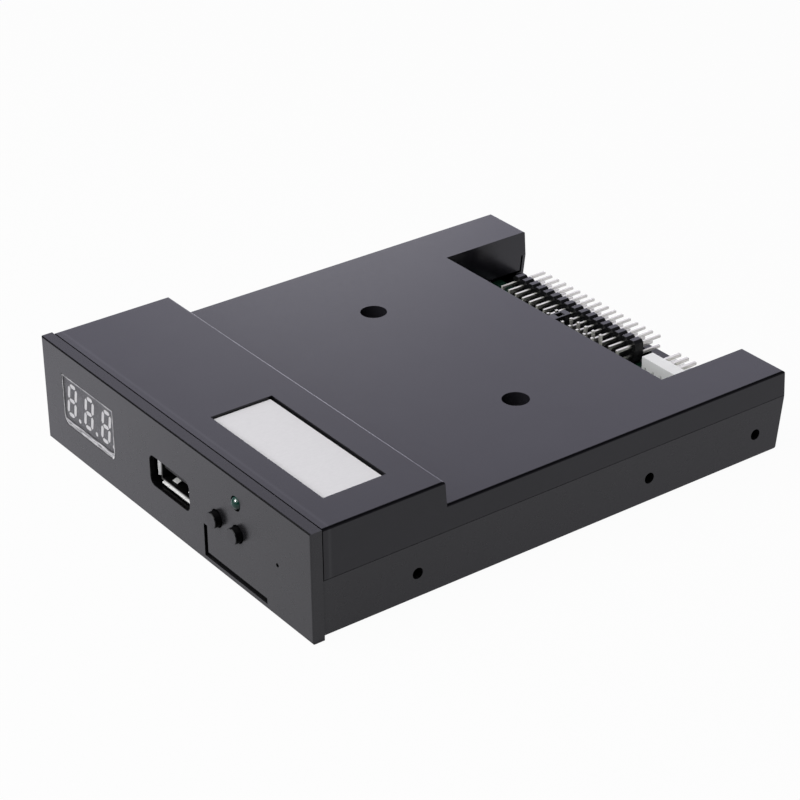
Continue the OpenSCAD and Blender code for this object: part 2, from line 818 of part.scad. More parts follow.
module cover_inside() {
    roof = rear_deck_z - deck_t;
    slab([-inner_x, cover_y - cut, seam_h - cut], [inner_x, step_y - wall, front_deck_z - deck_t]);
    along_x(2 * inner_x) polygon([
        [cover_y - cut, seam_h - cut],
        [case_l - wall, seam_h - cut],
        [case_l - wall, seam_h],
        [upper_rear_y - wall, roof],
        [cover_y - cut, roof]
    ]);
}

module bay_walls() {
    roof = rear_deck_z - deck_t / 2;
    skirt_rear = case_l - lap_t - skirt_slit;
    slab([-bay_w / 2 - wall, bay_y - wall, skirt_z], [bay_w / 2 + wall, bay_y, roof]);
    for (s = [0, 1])
        mirror([s, 0, 0]) {
            slab([bay_w / 2, bay_y - wall, seam_h], [bay_w / 2 + wall, upper_rear_y - wall / 2, roof]);
            translate([(bay_w + wall) / 2, 0, 0]) along_x(wall) polygon([
                [bay_y - wall, skirt_z],
                [skirt_rear - lower_slope * (seam_h - skirt_z), skirt_z],
                [skirt_rear, seam_h],
                [skirt_rear, seam_h + cut],
                [bay_y - wall, seam_h + cut]
            ]);
        }
}

module screw_wells(d, from, to) {
    for (s = [-1, 1])
        translate([s * well_pitch / 2, well_y, from]) cylinder(h = to - from, d = d);
}

module top_cover() {
    recess = [label_w + 2 * label_clear, label_d + label_clear + label_rear_gap];
    color(case_colour) seat() difference() {
        union() {
            difference() {
                cover_outside();
                cover_inside();
                slab([-bay_w / 2, bay_y, seam_h - cut], [bay_w / 2, case_l + cut, rear_deck_z + cut]);
            }
            bay_walls();
            screw_wells(well_d + 2 * well_wall, case_post_top, rear_deck_z - deck_t / 2);
        }
        screw_wells(well_d, seat_z, rear_deck_z + cut);
        screw_wells(case_screw_d + 2 * screw_clear, case_post_top - cut, seat_z + cut);
        translate([label_x - recess.x / 2, label_y - label_d / 2 - label_clear, front_deck_z - label_recess])
            cube([recess.x, recess.y, label_recess + cut]);
        for (s = [0, 1])
            mirror([s, 0, 0])
                slab(
                    [case_w / 2 - seam_line_d, cover_y - cut, seam_h - cut],
                    [case_w / 2 + cut, case_l + cut, seam_h + seam_line_h]
                );
    }
}

module label() {
    color("#f4f3ef") seat()
        translate([label_x - label_w / 2, label_y - label_d / 2, front_deck_z - label_recess])
            cube([label_w, label_d, label_t]);
}

module case_screws() {
    color(metal) seat()
        for (s = [-1, 1])
            translate([s * well_pitch / 2, well_y, seat_z])
                screw(case_screw_d, case_screw_l, case_head_d, case_head_h);
}

// Main board

// Hole in the board for a soldered leg
module leg_hole(x, y, w) {
    translate([x, y]) circle(d = (w + leg_clear) * sqrt(2), $fn = 8);
}

// Slot in the board for a flat leg
module leg_slot(x, y, w, d) {
    translate([x, y]) square([w + 2 * leg_clear, d + 2 * leg_clear], center = true);
}

module board_holes() {
    for (p = post_points)
        translate(p) circle(d = board_screw_d + 2 * screw_clear);
    for (s = [-1, 1])
        translate([s * well_pitch / 2, well_y]) circle(d = case_post_d + 2 * screw_clear);
    for (i = [0:header_columns - 1])
        for (y = [low_leg_y, high_leg_y])
            leg_hole(header_x + in_row(i, header_columns, pitch), y, pin_w);
    for (i = [0:jumper_columns - 1])
        for (y = [jumper_rear_y - pitch, jumper_rear_y])
            leg_hole(jumper_x + in_row(i, jumper_columns, pitch), y, pin_w);
    for (i = [0:power_count - 1])
        leg_hole(power_x + in_row(i, power_count, power_pitch), power_leg_y, power_pin_w);
    for (x = usb_contacts_x)
        leg_slot(x, usb_contact_leg_y, usb_contact_w, usb_contact_t);
    for (s = [-1, 1])
        for (y = usb_leg_y)
            leg_slot(s * (usb_w - usb_sheet) / 2, y, usb_sheet, usb_leg_w);
    for (b = buttons_x) {
        for (x = switch_pins_x)
            leg_hole(b + x, switch_pin_y, lead_w);
        for (s = [-1, 1])
            leg_slot(b + s * (switch_w + frame_t) / 2, switch_y + frame_leg_w / 2, frame_t, frame_leg_w);
    }
    for (s = [-1, 1])
        leg_hole(led_x + s * lead_pitch / 2, lead_y, lead_w);
}

module main_board() {
    color(board_green) seat() translate([0, 0, board_z]) linear_extrude(board_t) difference() {
        translate([-board_w / 2, board_y]) square([board_w, board_rear - board_y]);
        translate([-board_w / 2 - cut, board_y - cut])
            square([board_gap_x + board_w / 2 + cut, board_gap_y - board_y + cut]);
        board_holes();
    }
}

module board_screws() {
    color(metal) seat()
        for (p = post_points)
            translate([p.x, p.y, board_top]) screw(board_screw_d, board_screw_l, board_head_d, board_head_h);
}

// Display

function lean(p) = [p.x + digit_lean * p.y / digit_h, p.y];

// Outline of a segment between two points, with pointed ends
function segment(a, b) =
    let (
        dir = (b - a) / norm(b - a),
        side = [-dir.y, dir.x] * digit_stroke / 2,
        from = a + dir * digit_gap,
        to = b - dir * digit_gap,
        tip = dir * digit_stroke / 2
    )
    [for (p = [from, from + tip + side, to - tip + side, to, to - tip - side, from + tip - side]) lean(p)];

module digit_marks() {
    x = (digit_w - digit_stroke) / 2;
    y = (digit_h - digit_stroke) / 2;
    ends = [
        [[-x, y], [x, y]], [[-x, 0], [x, 0]], [[-x, -y], [x, -y]],
        [[-x, 0], [-x, y]], [[x, 0], [x, y]], [[-x, -y], [-x, 0]], [[x, -y], [x, 0]]
    ];
    for (e = ends)
        polygon(segment(e[0], e[1]));
    translate([digit_pitch * 0.4, -y]) circle(d = point_d);
}

module segments_at(depth) {
    translate([display_x, 0, display_z + digit_lift])
        along_y(display_recess, display_recess + depth)
            for (i = [0:2])
                translate([in_row(i, 3, digit_pitch), 0]) digit_marks();
}

module display_pin_rows_at(w, from, to) {
    for (i = [0:display_pin_count - 1])
        for (s = [-1, 1])
            pin_y(
                display_x + in_row(i, display_pin_count, pitch), display_z + s * display_pin_rows / 2,
                w, from, to
            );
}

module display_body() {
    color("#6f7073") seat() difference() {
        translate([display_x, 0, display_z])
            along_y(display_recess, display_rear) polygon(rounded_box(module_w, module_h, window_r, 0));
        segments_at(segment_d);
    }
}

module display_segments() {
    color("#d9d9d8") seat() segments_at(segment_d);
}

module display_film() {
    color("#c9cbd0", 0.35) seat()
        translate([display_x, 0, display_z])
            along_y(display_recess - film_gap - film_t, display_recess - film_gap)
                polygon(rounded_box(module_w, module_h, window_r, 0));
}

module display_pins() {
    color(metal) seat()
        display_pin_rows_at(display_pin_w, display_rear, display_board_rear + display_pin_tail);
}

module display_board() {
    color(board_green) seat() difference() {
        slab(
            [display_x - display_board_w / 2, display_rear, display_z - display_board_h / 2],
            [display_x + display_board_w / 2, display_board_rear, display_z + display_board_h / 2]
        );
        display_pin_rows_at(display_pin_w + 2 * leg_clear, display_rear - cut, display_board_rear + cut);
        for (s = [-1, 1])
            rod(
                display_x + s * display_post_x, display_z, display_screw_d + 2 * leg_clear,
                display_rear - cut, display_board_rear + cut
            );
    }
}

module display_driver() {
    color(black_plastic) seat()
        translate([display_x - driver_w / 2 - wire_pitch, display_board_rear, display_z - driver_h / 2])
            cube([driver_w / 2, driver_t, driver_h]);
}

module display_screws() {
    color(metal) seat()
        for (s = [-1, 1])
            translate([display_x + s * display_post_x, display_board_rear, display_z])
                rotate([-90, 0, 0]) screw(display_screw_d, display_screw_l, display_head_d, display_head_h);
}

module display_wires() {
    color("#a33a30") seat()
        for (i = [0:wire_count - 1])
            translate([display_x + wire_pitch * (i + 1), 0, 0]) {
                rod(0, wire_z, wire_d, display_board_rear, wire_y);
                translate([0, wire_y, wire_z - wire_bend_r])
                    rotate([90, 0, 90])
                        rotate_extrude(angle = 90) translate([wire_bend_r, 0]) circle(d = wire_d);
                translate([0, wire_y + wire_bend_r, board_top])
                    cylinder(h = wire_z - wire_bend_r - board_top, d = wire_d);
            }
}

// USB socket

// Lip along one side of the mouth, with the side's inner face on the line y = 0
module usb_lip_strip(width) {
    rotate([90, 0, 90]) translate([0, 0, -width / 2]) linear_extrude(width) polygon([
        [eps, 0], [0, 0], [-usb_lip, -usb_lip_spread], [-usb_lip, -usb_lip_spread - usb_sheet],
        [0, -usb_sheet], [eps, -usb_sheet]
    ]);
}

module usb_lips() {
    for (a = [0, 180])
        translate([0, usb_recess, usb_z]) rotate([0, a, 0]) {
            translate([0, 0, -usb_in_h / 2]) usb_lip_strip(usb_w - 2 * usb_lip_end);
            rotate([0, 90, 0]) translate([0, 0, -usb_in_w / 2]) usb_lip_strip(usb_h - 2 * usb_lip_end);
        }
}

// Spring leaves that rise from the shell's floor
module usb_leaves() {
    tip = usb_recess + usb_leaf_tip;
    root = tip + usb_leaf_l;
    crest = tip + usb_leaf_l / 7;
    for (s = [-1, 1])
        translate([s * usb_leaf_pitch / 2, 0, usb_z - usb_in_h / 2 - eps]) along_x(usb_leaf_w) polygon([
            [root, 0], [crest, usb_leaf_rise], [tip, usb_leaf_rise / 2],
            [tip, (usb_leaf_rise - usb_sheet) / 2], [crest, usb_leaf_rise - usb_sheet],
            [root - usb_leaf_l / 7, 0]
        ]);
}

module usb_shell() {
    color(metal) seat() {
        usb_lips();
        usb_leaves();
        difference() {
            slab(
                [-usb_w / 2, usb_recess, usb_z - usb_h / 2],
                [usb_w / 2, usb_rear, usb_z + usb_h / 2]
            );
            slab(
                [-usb_in_w / 2, usb_recess - cut, usb_z - usb_in_h / 2],
                [usb_in_w / 2, usb_rear + cut, usb_z + usb_in_h / 2]
            );
        }
        for (s = [0, 1])
            mirror([s, 0, 0])
                for (y = usb_leg_y)
                    slab(
                        [usb_in_w / 2, y - usb_leg_w / 2, tail_z],
                        [usb_w / 2, y + usb_leg_w / 2, usb_z]
                    );
    }
}

module usb_contact_strips(grow) {
    half = usb_contact_w / 2 + grow;
    for (x = usb_contacts_x)
        slab(
            [x - half, usb_recess + 2 * usb_tongue_back, usb_tongue_low - usb_contact_t - grow],
            [x + half, usb_contact_leg_y, usb_tongue_low]
        );
}

module usb_insulator() {
    color(black_plastic) seat() difference() {
        union() {
            slab(
                [-usb_tongue_w / 2, usb_recess + usb_tongue_back, usb_tongue_low],
                [usb_tongue_w / 2, usb_rear - usb_block_l + eps, usb_tongue_top]
            );
            slab(
                [-usb_in_w / 2, usb_rear - usb_block_l, usb_z - usb_in_h / 2],
                [usb_in_w / 2, usb_rear, usb_z + usb_in_h / 2]
            );
        }
        usb_contact_strips(pin_clear);
    }
}

module usb_contacts() {
    color(gold) seat() {
        usb_contact_strips(0);
        for (x = usb_contacts_x)
            slab(
                [x - usb_contact_w / 2, usb_contact_leg_y - usb_contact_t / 2, tail_z],
                [x + usb_contact_w / 2, usb_contact_leg_y + usb_contact_t / 2, usb_tongue_low]
            );
    }
}

// Buttons

module plunger(x) {
    color(black_plastic) seat() {
        translate([x, -button_proud, button_z]) rotate([-90, 0, 0])
            cylinder(h = button_chamfer, d1 = button_d - 2 * button_chamfer, d2 = button_d);
        rod(x, button_z, button_d, button_chamfer - button_proud, base_y + eps);
        rod(x, button_z, button_d + 2 * flange_lip, base_y, base_y + flange_t);
        rod(x, button_z, button_d / 2, base_y + flange_t - eps, plunger_end);
    }
}

module left_button() {
    plunger(buttons_x[0]);
}

module right_button() {
    plunger(buttons_x[1]);
}

module dome(x) {
    rim = chamber_d / 2 - button_clear;
    crown = button_d / 4;
    color(metal) seat() translate([x, chamber_y, button_z]) rotate([90, 0, 0])
        rotate_extrude() polygon([
            [0, dome_h - dome_t], [crown, dome_h - dome_t], [rim - dome_t, 0],
            [rim, 0], [crown + dome_t, dome_h], [0, dome_h]
        ]);
}

module left_dome() {
    dome(buttons_x[0]);
}

module right_dome() {
    dome(buttons_x[1]);
}

module switch_bases() {
    color(black_plastic) seat()
        for (x = buttons_x)
            difference() {
                slab(
                    [x - switch_w / 2, base_y, board_top],
                    [x + switch_w / 2, base_rear, button_z + switch_w / 2]
                );
                rod(x, button_z, chamber_d, base_y - cut, chamber_y);
            }
}

module switch_frames() {
    color(metal) seat()
        for (x = buttons_x) {
            difference() {
                slab(
                    [x - switch_w / 2 - frame_t, switch_y, board_top + frame_leg_w],
                    [x + switch_w / 2 + frame_t, base_y, button_z + switch_w / 2]
                );
                rod(x, button_z, button_d + 2 * button_clear, switch_y - cut, base_y + cut);
            }
            for (s = [-1, 1])
                translate([x + s * (switch_w + frame_t) / 2, 0, 0])
                    slab(
                        [-frame_t / 2, switch_y, tail_z],
                        [frame_t / 2, switch_y + frame_leg_w, button_z]
                    );
        }
}

module switch_pins() {
    color(metal) seat()
        for (b = buttons_x)
            for (x = switch_pins_x)
                pin_z(b + x, switch_pin_y, lead_w, tail_z, board_top);
}

// Indicator

module led_lens() {
    color("#2f7a4b", 0.8) seat() {
        translate([led_x, led_d / 2 - led_proud, led_z]) sphere(d = led_d);
        rod(led_x, led_z, led_d, led_d / 2 - led_proud, led_rear);
        rod(led_x, led_z, led_rim_d, led_rear - led_rim_t, led_rear);
    }
}

module led_leads() {
    color(metal) seat()
        for (s = [-1, 1]) {
            x = led_x + s * lead_pitch / 2;
            pin_y(x, led_z, lead_w, led_rear, lead_y + lead_w / 2);
            pin_z(x, lead_y, lead_w, tail_z, led_z + lead_w / 2);
        }
}

// Connectors in the rear bay

// Outline of a row of joined cells, notched between neighbours
module cell_row(count, depth) {
    front = [
        for (i = [0:count - 1])
            for (p = [[cell_notch - pitch / 2, -depth / 2], [pitch / 2 - cell_notch, -depth / 2],
                    [pitch / 2, cell_notch - depth / 2]])
                if (i < count - 1 || p.x < pitch / 2)
                    [p.x + in_row(i, count, pitch), p.y]
    ];
    rear = [for (p = front) -p];
    half = count * pitch / 2;
    polygon(concat(
        [[-half, cell_notch - depth / 2]], front, [[half, cell_notch - depth / 2]],
        [[half, depth / 2 - cell_notch]], rear, [[-half, depth / 2 - cell_notch]]
    ));
}

module header_rods(w, from) {
    for (i = [0:header_columns - 1])
        for (z = [low_pin_z, high_pin_z])
            pin_y(header_x + in_row(i, header_columns, pitch), z, w, from, tip_y);
}

module floppy_header_housing() {
    color(black_plastic) seat() difference() {
        translate([header_x, 0, board_top + pitch + header_lift])
            along_y(housing_front, housing_rear) cell_row(header_columns, 2 * (pitch + header_lift));
        header_rods(pin_w + 2 * pin_clear, housing_front - cut);
    }
}

module floppy_header_pins() {
    color(gold) seat()
        for (i = [0:header_columns - 1])
            for (row = [[low_leg_y, low_pin_z], [high_leg_y, high_pin_z]]) {
                x = header_x + in_row(i, header_columns, pitch);
                pin_y(x, row.y, pin_w, row.x - pin_w / 2, tip_y);
                pin_z(x, row.x, pin_w, tail_z, row.y + pin_w / 2);
            }
}

module jumper_rods(w, from, to) {
    for (i = [0:jumper_columns - 1])
        for (y = [jumper_rear_y - pitch, jumper_rear_y])
            pin_z(jumper_x + in_row(i, jumper_columns, pitch), y, w, from, to);
}

module jumper_base() {
    color(black_plastic) seat() difference() {
        translate([jumper_x, jumper_y, board_top])
            linear_extrude(pitch) cell_row(jumper_columns, 2 * pitch);
        jumper_rods(pin_w + 2 * pin_clear, board_top - cut, jumper_base_top + cut);
    }
}

module jumper_pins() {
    color(gold) seat() jumper_rods(pin_w, tail_z, board_top + jumper_tip);
}

// Space inside the cap round its two pins, down to the cap's lower face
module cap_space(w, top) {
    for (s = [-1, 1])
        pin_z(cap_x, jumper_y + s * pitch / 2, w, cap_z - cut, top);
}

module jumper_cap() {
    color(black_plastic) seat() difference() {
        slab(
            [cap_x - pitch / 2 + cap_gap, jumper_y - pitch + cap_gap, cap_z],
            [cap_x + pitch / 2 - cap_gap, jumper_y + pitch - cap_gap, cap_z + cap_h]
        );
        cap_space(cap_hole, board_top + jumper_tip + pin_clear);
        slab(
            [cap_x - cap_slot_w / 2, jumper_y - cap_slot_l / 2, cap_z + cap_h - cap_slot_d],
            [cap_x + cap_slot_w / 2, jumper_y + cap_slot_l / 2, cap_z + cap_h + cut]
        );
        slab(
            [cap_x - cap_hole / 2, jumper_y - pitch / 2, cap_z - cut],
            [cap_x - cap_hole / 2 + clip_t + pin_clear, jumper_y + pitch / 2, cap_z + clip_h]
        );
    }
}

module jumper_clip() {
    in_w = cap_hole - 2 * (clip_t + pin_clear);
    out_w = in_w + 2 * clip_t;
    color(gold) seat() {
        for (s = [-1, 1])
            translate([0, s * pitch / 2, 0]) difference() {
                pin_z(cap_x, jumper_y, out_w, cap_z, cap_z + clip_h);
                pin_z(cap_x, jumper_y, in_w, cap_z - cut, cap_z + clip_h + cut);
            }
        slab(
            [cap_x - out_w / 2, jumper_y - pitch / 2 + in_w / 2, cap_z],
            [cap_x - in_w / 2, jumper_y + pitch / 2 - in_w / 2, cap_z + clip_h]
        );
    }
}

module power_rods(w, tail) {
    for (i = [0:power_count - 1]) {
        x = power_x + in_row(i, power_count, power_pitch);
        pin_y(x, power_pin_z, w, power_leg_y - w / 2, tip_y);
        pin_z(x, power_leg_y, w, tail, power_pin_z + w / 2);
    }
}

module power_block() {
    color("#f0efec") seat() difference() {
        union() {
            slab(
                [power_x - power_w / 2, power_front, board_top],
                [power_x + power_w / 2, housing_rear, board_top + power_block_h]
            );
            slab(
                [power_x - power_w / 2, housing_rear - eps, board_top],
                [power_x + power_w / 2, tip_y - power_plate_inset, board_top + power_plate_t]
            );
        }
        power_rods(power_pin_w + 2 * pin_clear, board_top - cut);
        for (i = [0:power_count - 1])
            translate([power_x + in_row(i, power_count, power_pitch) - power_pitch / 2, power_front, board_top])
                cube([power_slot_w, power_pin_w, 2 * power_slot_h], center = true);
    }
}

module power_pins() {
    color(metal) seat() power_rods(power_pin_w, tail_z);
}

// Parts on the board

module controller_chip() {
    color(black_plastic) seat()
        translate([chip_x - chip_w / 2, chip_mid_y - chip_w / 2, board_top + chip_lift])
            cube([chip_w, chip_w, chip_t]);
}

// Gull wing leg that leaves the body at half its height and stands on the board
module gull_leg(reach, height, t, w) {
    knee = reach / 2;
    rotate([90, 0, 0]) translate([0, 0, -w / 2]) linear_extrude(w) polygon([
        [0, height], [knee, height], [knee, t], [reach, t],
        [reach, 0], [knee - t, 0], [knee - t, height - t], [0, height - t]
    ]);
}

module controller_legs() {
    color(metal) seat() translate([chip_x, chip_mid_y, board_top])
        for (a = [0, 90, 180, 270])
            rotate([0, 0, a])
                for (i = [0:chip_legs - 1])
                    translate([chip_w / 2, in_row(i, chip_legs, chip_leg_pitch), 0])
                        gull_leg(chip_leg_reach, chip_lift + chip_t / 2, chip_leg_t, chip_leg_pitch / 2);
}

module crystal_can() {
    color(metal) seat() translate([crystal_x, chip_mid_y, board_top])
        linear_extrude(crystal_h)
            polygon(rounded_box(crystal_w, crystal_l, crystal_w / 2 - eps, crystal_w / 2 - eps));
}

module voltage_regulator() {
    color(black_plastic) seat()
        translate([regulator_x - regulator_w / 2, regulator_mid_y - regulator_d / 2, board_top + chip_lift])
            cube([regulator_w, regulator_d, regulator_h]);
}

module regulator_legs() {
    color(metal) seat() translate([regulator_x, regulator_mid_y, board_top]) {
        for (i = [-1:1])
            translate([i * regulator_w / 3, -regulator_d / 2, 0])
                rotate([0, 0, -90])
                    gull_leg(chip_leg_reach * 1.5, regulator_h / 2, chip_leg_t * 2, regulator_w / 9);
        translate([0, regulator_d / 2, 0])
            rotate([0, 0, 90])
                gull_leg(chip_leg_reach * 1.5, regulator_h / 2, chip_leg_t * 2, regulator_w / 2);
    }
}

module capacitors_at(z) {
    for (i = [0:capacitor_count - 1])
        translate([capacitor_x - i * capacitor_pitch, regulator_mid_y, z]) children();
}

module capacitor_bases() {
    color(black_plastic) seat() capacitors_at(board_top)
        translate([-capacitor_d / 2, -capacitor_d / 2, 0])
            cube([capacitor_d, capacitor_d, capacitor_base_h]);
}

module capacitor_cans() {
    color("silver") seat() capacitors_at(board_top + capacitor_base_h)
        cylinder(h = capacitor_h, d = capacitor_d);
}

module chip_resistors() {
    color("#3a3230") seat()
        for (i = [0:resistor_count - 1])
            translate([
                chip_x + in_row(i, resistor_count, resistor_pitch),
                chip_mid_y + chip_w / 2 + chip_leg_reach + resistor_l,
                board_top
            ])
                translate([-resistor_l / 4, -resistor_l / 2, 0])
                    cube([resistor_l / 2, resistor_l, resistor_l / 4]);
}

lower_shell();
top_cover();
label();
case_screws();
main_board();
board_screws();
display_body();
display_segments();
display_film();
display_pins();
display_board();
display_driver();
display_screws();
display_wires();
usb_shell();
usb_insulator();
usb_contacts();
left_button();
right_button();
left_dome();
right_dome();
switch_bases();
switch_frames();
switch_pins();
led_lens();
led_leads();
floppy_header_housing();
floppy_header_pins();
jumper_base();
jumper_pins();
jumper_cap();
jumper_clip();
power_block();
power_pins();
controller_chip();
controller_legs();
crystal_can();
voltage_regulator();
regulator_legs();
capacitor_bases();
capacitor_cans();
chip_resistors();
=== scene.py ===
"""Looks for a floppy drive emulator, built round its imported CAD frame.

Lengths are in metres, and those written in millimetres are multiplied by mm. +X is to the right seen
from the front, +Y to the rear and +Z up, and the origin is the middle of the footprint.
"""

import math

import bmesh
import bpy
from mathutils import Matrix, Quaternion, Vector


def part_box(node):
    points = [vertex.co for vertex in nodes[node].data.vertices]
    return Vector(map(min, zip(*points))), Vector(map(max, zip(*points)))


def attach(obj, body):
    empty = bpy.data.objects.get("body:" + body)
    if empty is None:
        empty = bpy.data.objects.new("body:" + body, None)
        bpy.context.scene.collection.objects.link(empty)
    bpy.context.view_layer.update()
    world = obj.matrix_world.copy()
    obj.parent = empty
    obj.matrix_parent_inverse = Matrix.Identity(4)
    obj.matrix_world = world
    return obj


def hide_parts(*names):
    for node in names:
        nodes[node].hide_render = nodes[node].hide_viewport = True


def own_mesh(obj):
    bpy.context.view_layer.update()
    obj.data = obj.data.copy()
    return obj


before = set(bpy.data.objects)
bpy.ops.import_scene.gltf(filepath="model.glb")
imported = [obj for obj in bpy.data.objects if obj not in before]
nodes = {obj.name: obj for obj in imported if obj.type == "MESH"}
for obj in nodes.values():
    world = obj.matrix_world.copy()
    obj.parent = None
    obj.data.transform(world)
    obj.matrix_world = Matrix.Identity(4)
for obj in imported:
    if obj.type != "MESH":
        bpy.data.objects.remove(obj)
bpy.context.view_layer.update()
scene = bpy.context.scene
mm = 0.001

# Materials

# Shares of a colour, a gloss or an openness that are left where a finish is dark; all but the streaks'
# share are painted shade
hollow_shade = 0.12
hollow_shade_gloss = 0.08
edge_shade = 0.1
opening_shade = 0.04
streak_colour = 0.86
mouth_shade = 0.004
gap_shade = 0.06
board_hollow_shade = 0.1
button_side_shade = 0.25

# Gloss of a button's face and of its sides under painted shade, and how much brighter the painted
# highlight line is
button_face_gloss = 0.5
button_side_shade_gloss = 0.06
highlight_line_gain = 1.4

# Places and widths of the marks in a finish, among them the painted shade and the painted highlight line
opening_soft = 0.25 * mm
highlight_line_half = 0.5 * mm
mouth_start = 0.25 * mm
mouth_end = 0.75 * mm
lip_line = 0.6 * mm
lip_line_half = 0.3 * mm
gap_end = 0.5 * mm
copper_area = 3.2 * mm
board_hollow = 12 * mm


def socket(sockets, identifier):
    """Socket of a Mix node, several of which share a name."""
    return next(s for s in sockets if s.identifier == identifier)


class Finish:
    """A new material with short calls to add and join its nodes."""

    def __init__(self, name):
        self.material = bpy.data.materials.new(name)
        self.material.use_nodes = True
        self.tree = self.material.node_tree
        self.surface = self.tree.nodes["Principled BSDF"]
        self.place = self.add("ShaderNodeTexCoord").outputs["Object"]

    def add(self, kind, **settings):
        node = self.tree.nodes.new(kind)
        for key, value in settings.items():
            setattr(node, key, value)
        return node

    def join(self, source, target):
        self.tree.links.new(source, target)

    def set(self, **values):
        """Sets sockets of the shader that are the same all over."""
        for key, value in values.items():
            title = key.replace("_", " ").title().replace("Ior", "IOR")
            self.surface.inputs[title].default_value = value

    def stretched(self, stretch):
        mapping = self.add("ShaderNodeMapping")
        mapping.inputs["Scale"].default_value = stretch
        self.join(self.place, mapping.inputs["Vector"])
        return mapping.outputs["Vector"]

    def noise(self, size, detail=3.0, stretch=None):
        """Noise with blotches about size across."""
        node = self.add("ShaderNodeTexNoise")
        node.inputs["Scale"].default_value = 1 / size
        node.inputs["Detail"].default_value = detail
        self.join(self.stretched(stretch) if stretch else self.place, node.inputs["Vector"])
        return node.outputs["Fac"]

    def spread(self, source, low, high, start=0.3, end=0.7):
        """Source between start and end becomes low to high."""
        node = self.add("ShaderNodeMapRange")
        node.inputs["From Min"].default_value = start
        node.inputs["From Max"].default_value = end
        node.inputs["To Min"].default_value = low
        node.inputs["To Max"].default_value = high
        self.join(source, node.inputs["Value"])
        return node.outputs["Result"]

    def blend(self, factor, first, second):
        """Colour between first and second, which are colours or sockets."""
        node = self.add("ShaderNodeMix", data_type="RGBA")
        self.join(factor, node.inputs["Factor"])
        for identifier, value in (("A_Color", first), ("B_Color", second)):
            target = socket(node.inputs, identifier)
            if isinstance(value, tuple):
                target.default_value = (*value, 1)
            else:
                self.join(value, target)
        return socket(node.outputs, "Result_Color")

    def hollows(self, reach):
        """Openness of the surface: near 1 in the open and low in corners and holes up to reach wide."""
        node = self.add("ShaderNodeAmbientOcclusion", samples=8)
        node.inputs["Distance"].default_value = reach
        return node.outputs["AO"]

    def facing(self, axis):
        """How far the surface looks along an axis, from -1 to 1."""
        axes = self.add("ShaderNodeSeparateXYZ")
        self.join(self.add("ShaderNodeNewGeometry").outputs["Normal"], axes.inputs["Vector"])
        return axes.outputs[axis]

    def along(self, axis):
        """Place along an axis."""
        axes = self.add("ShaderNodeSeparateXYZ")
        self.join(self.place, axes.inputs["Vector"])
        return axes.outputs[axis]

    def times(self, first, second):
        node = self.add("ShaderNodeMath", operation="MULTIPLY")
        self.join(first, node.inputs[0])
        self.join(second, node.inputs[1])
        return node.outputs[0]

    def line(self, axis, centre, half):
        """1 on a line across an axis, falling to 0 at half on either side."""
        place = self.along(axis)
        rise = self.spread(place, 0, 1, centre - half, centre)
        return self.times(rise, self.spread(place, 1, 0, centre, centre + half))

    def within(self, low, high, soft):
        """1 between two corners and 0 outside them, changing over soft."""
        total = None
        for axis, start, end in zip("XYZ", low, high):
            place = self.along(axis)
            rise = self.spread(place, 0, 1, start, start + soft)
            part = self.times(rise, self.spread(place, 1, 0, end - soft, end))
            total = part if total is None else self.times(total, part)
        return total

    def colour(self, source):
        self.join(source, self.surface.inputs["Base Color"])

    def rough(self, source):
        self.join(source, self.surface.inputs["Roughness"])

    def gloss(self, source):
        self.join(source, self.surface.inputs["Specular IOR Level"])

    def relief(self, source, depth):
        """Raises the surface by up to depth where source is high."""
        node = self.add("ShaderNodeBump")
        node.inputs["Distance"].default_value = depth
        self.join(source, node.inputs["Height"])
        self.join(node.outputs["Normal"], self.surface.inputs["Normal"])


def shade(colour, factor):
    return tuple(c * factor for c in colour)


def moulded(name, colour, roughness, grain=0.16 * mm, depth=0.003 * mm, variation=0.12, flow=9 * mm,
            reach=0, gloss=0.5, top_gloss=0.5, edge=None, openings=None, highlight_line=None):
    """Moulded plastic: fine grain, faint flow blotches and a slightly uneven roughness.

    With a reach, corners and holes up to that width get painted shade, dark and matt, and faces that look
    up have their own gloss, a painted sheen. With an edge, the rounded edges between the top and the faces
    along that axis get painted shade too, and with openings, the faces between those two corners. Given
    the place along Y of a painted highlight line, that line is brighter.
    """
    f = Finish(name)
    blotch = f.noise(flow, detail=4)
    tone = f.blend(f.spread(blotch, 0, 1), shade(colour, 1 - variation), shade(colour, 1 + variation))
    if reach:
        # Painted shade: dark and matt where the surface is closed in, up to the reach
        unshaded = f.spread(f.hollows(reach), 0, 1, start=0.35, end=0.92)
        if edge:
            # Painted shade on the rounded edges between the top and the faces along the edge axis
            lean = f.times(f.times(f.facing(edge), f.facing(edge)), f.facing("Z"))
            unshaded = f.times(unshaded, f.spread(lean, 1, edge_shade, start=0.03, end=0.15))
        if openings:
            # Painted shade on the faces inside the given openings
            inside = f.within(*openings, opening_soft)
            unshaded = f.times(unshaded, f.spread(inside, 1, opening_shade, start=0, end=1))
        tone = f.blend(unshaded, shade(colour, hollow_shade), tone)
        # Painted sheen: faces that look up get their own gloss, the sides the plain gloss
        level = f.spread(f.facing("Z"), gloss, top_gloss, start=0.9, end=0.99)
        if highlight_line is not None:
            # Painted highlight: a line of extra gloss across Y
            bright = f.line("Y", highlight_line, highlight_line_half)
            level = f.times(level, f.spread(bright, 1, highlight_line_gain, start=0, end=1))
        # Gloss is also lowered under the painted shade
        f.gloss(f.times(level, f.spread(unshaded, hollow_shade_gloss, 1, start=0, end=1)))
    f.colour(tone)
    f.rough(f.spread(f.noise(flow / 6), roughness - 0.02, roughness + 0.02))
    f.relief(f.noise(grain, detail=2), depth)
    return f.material


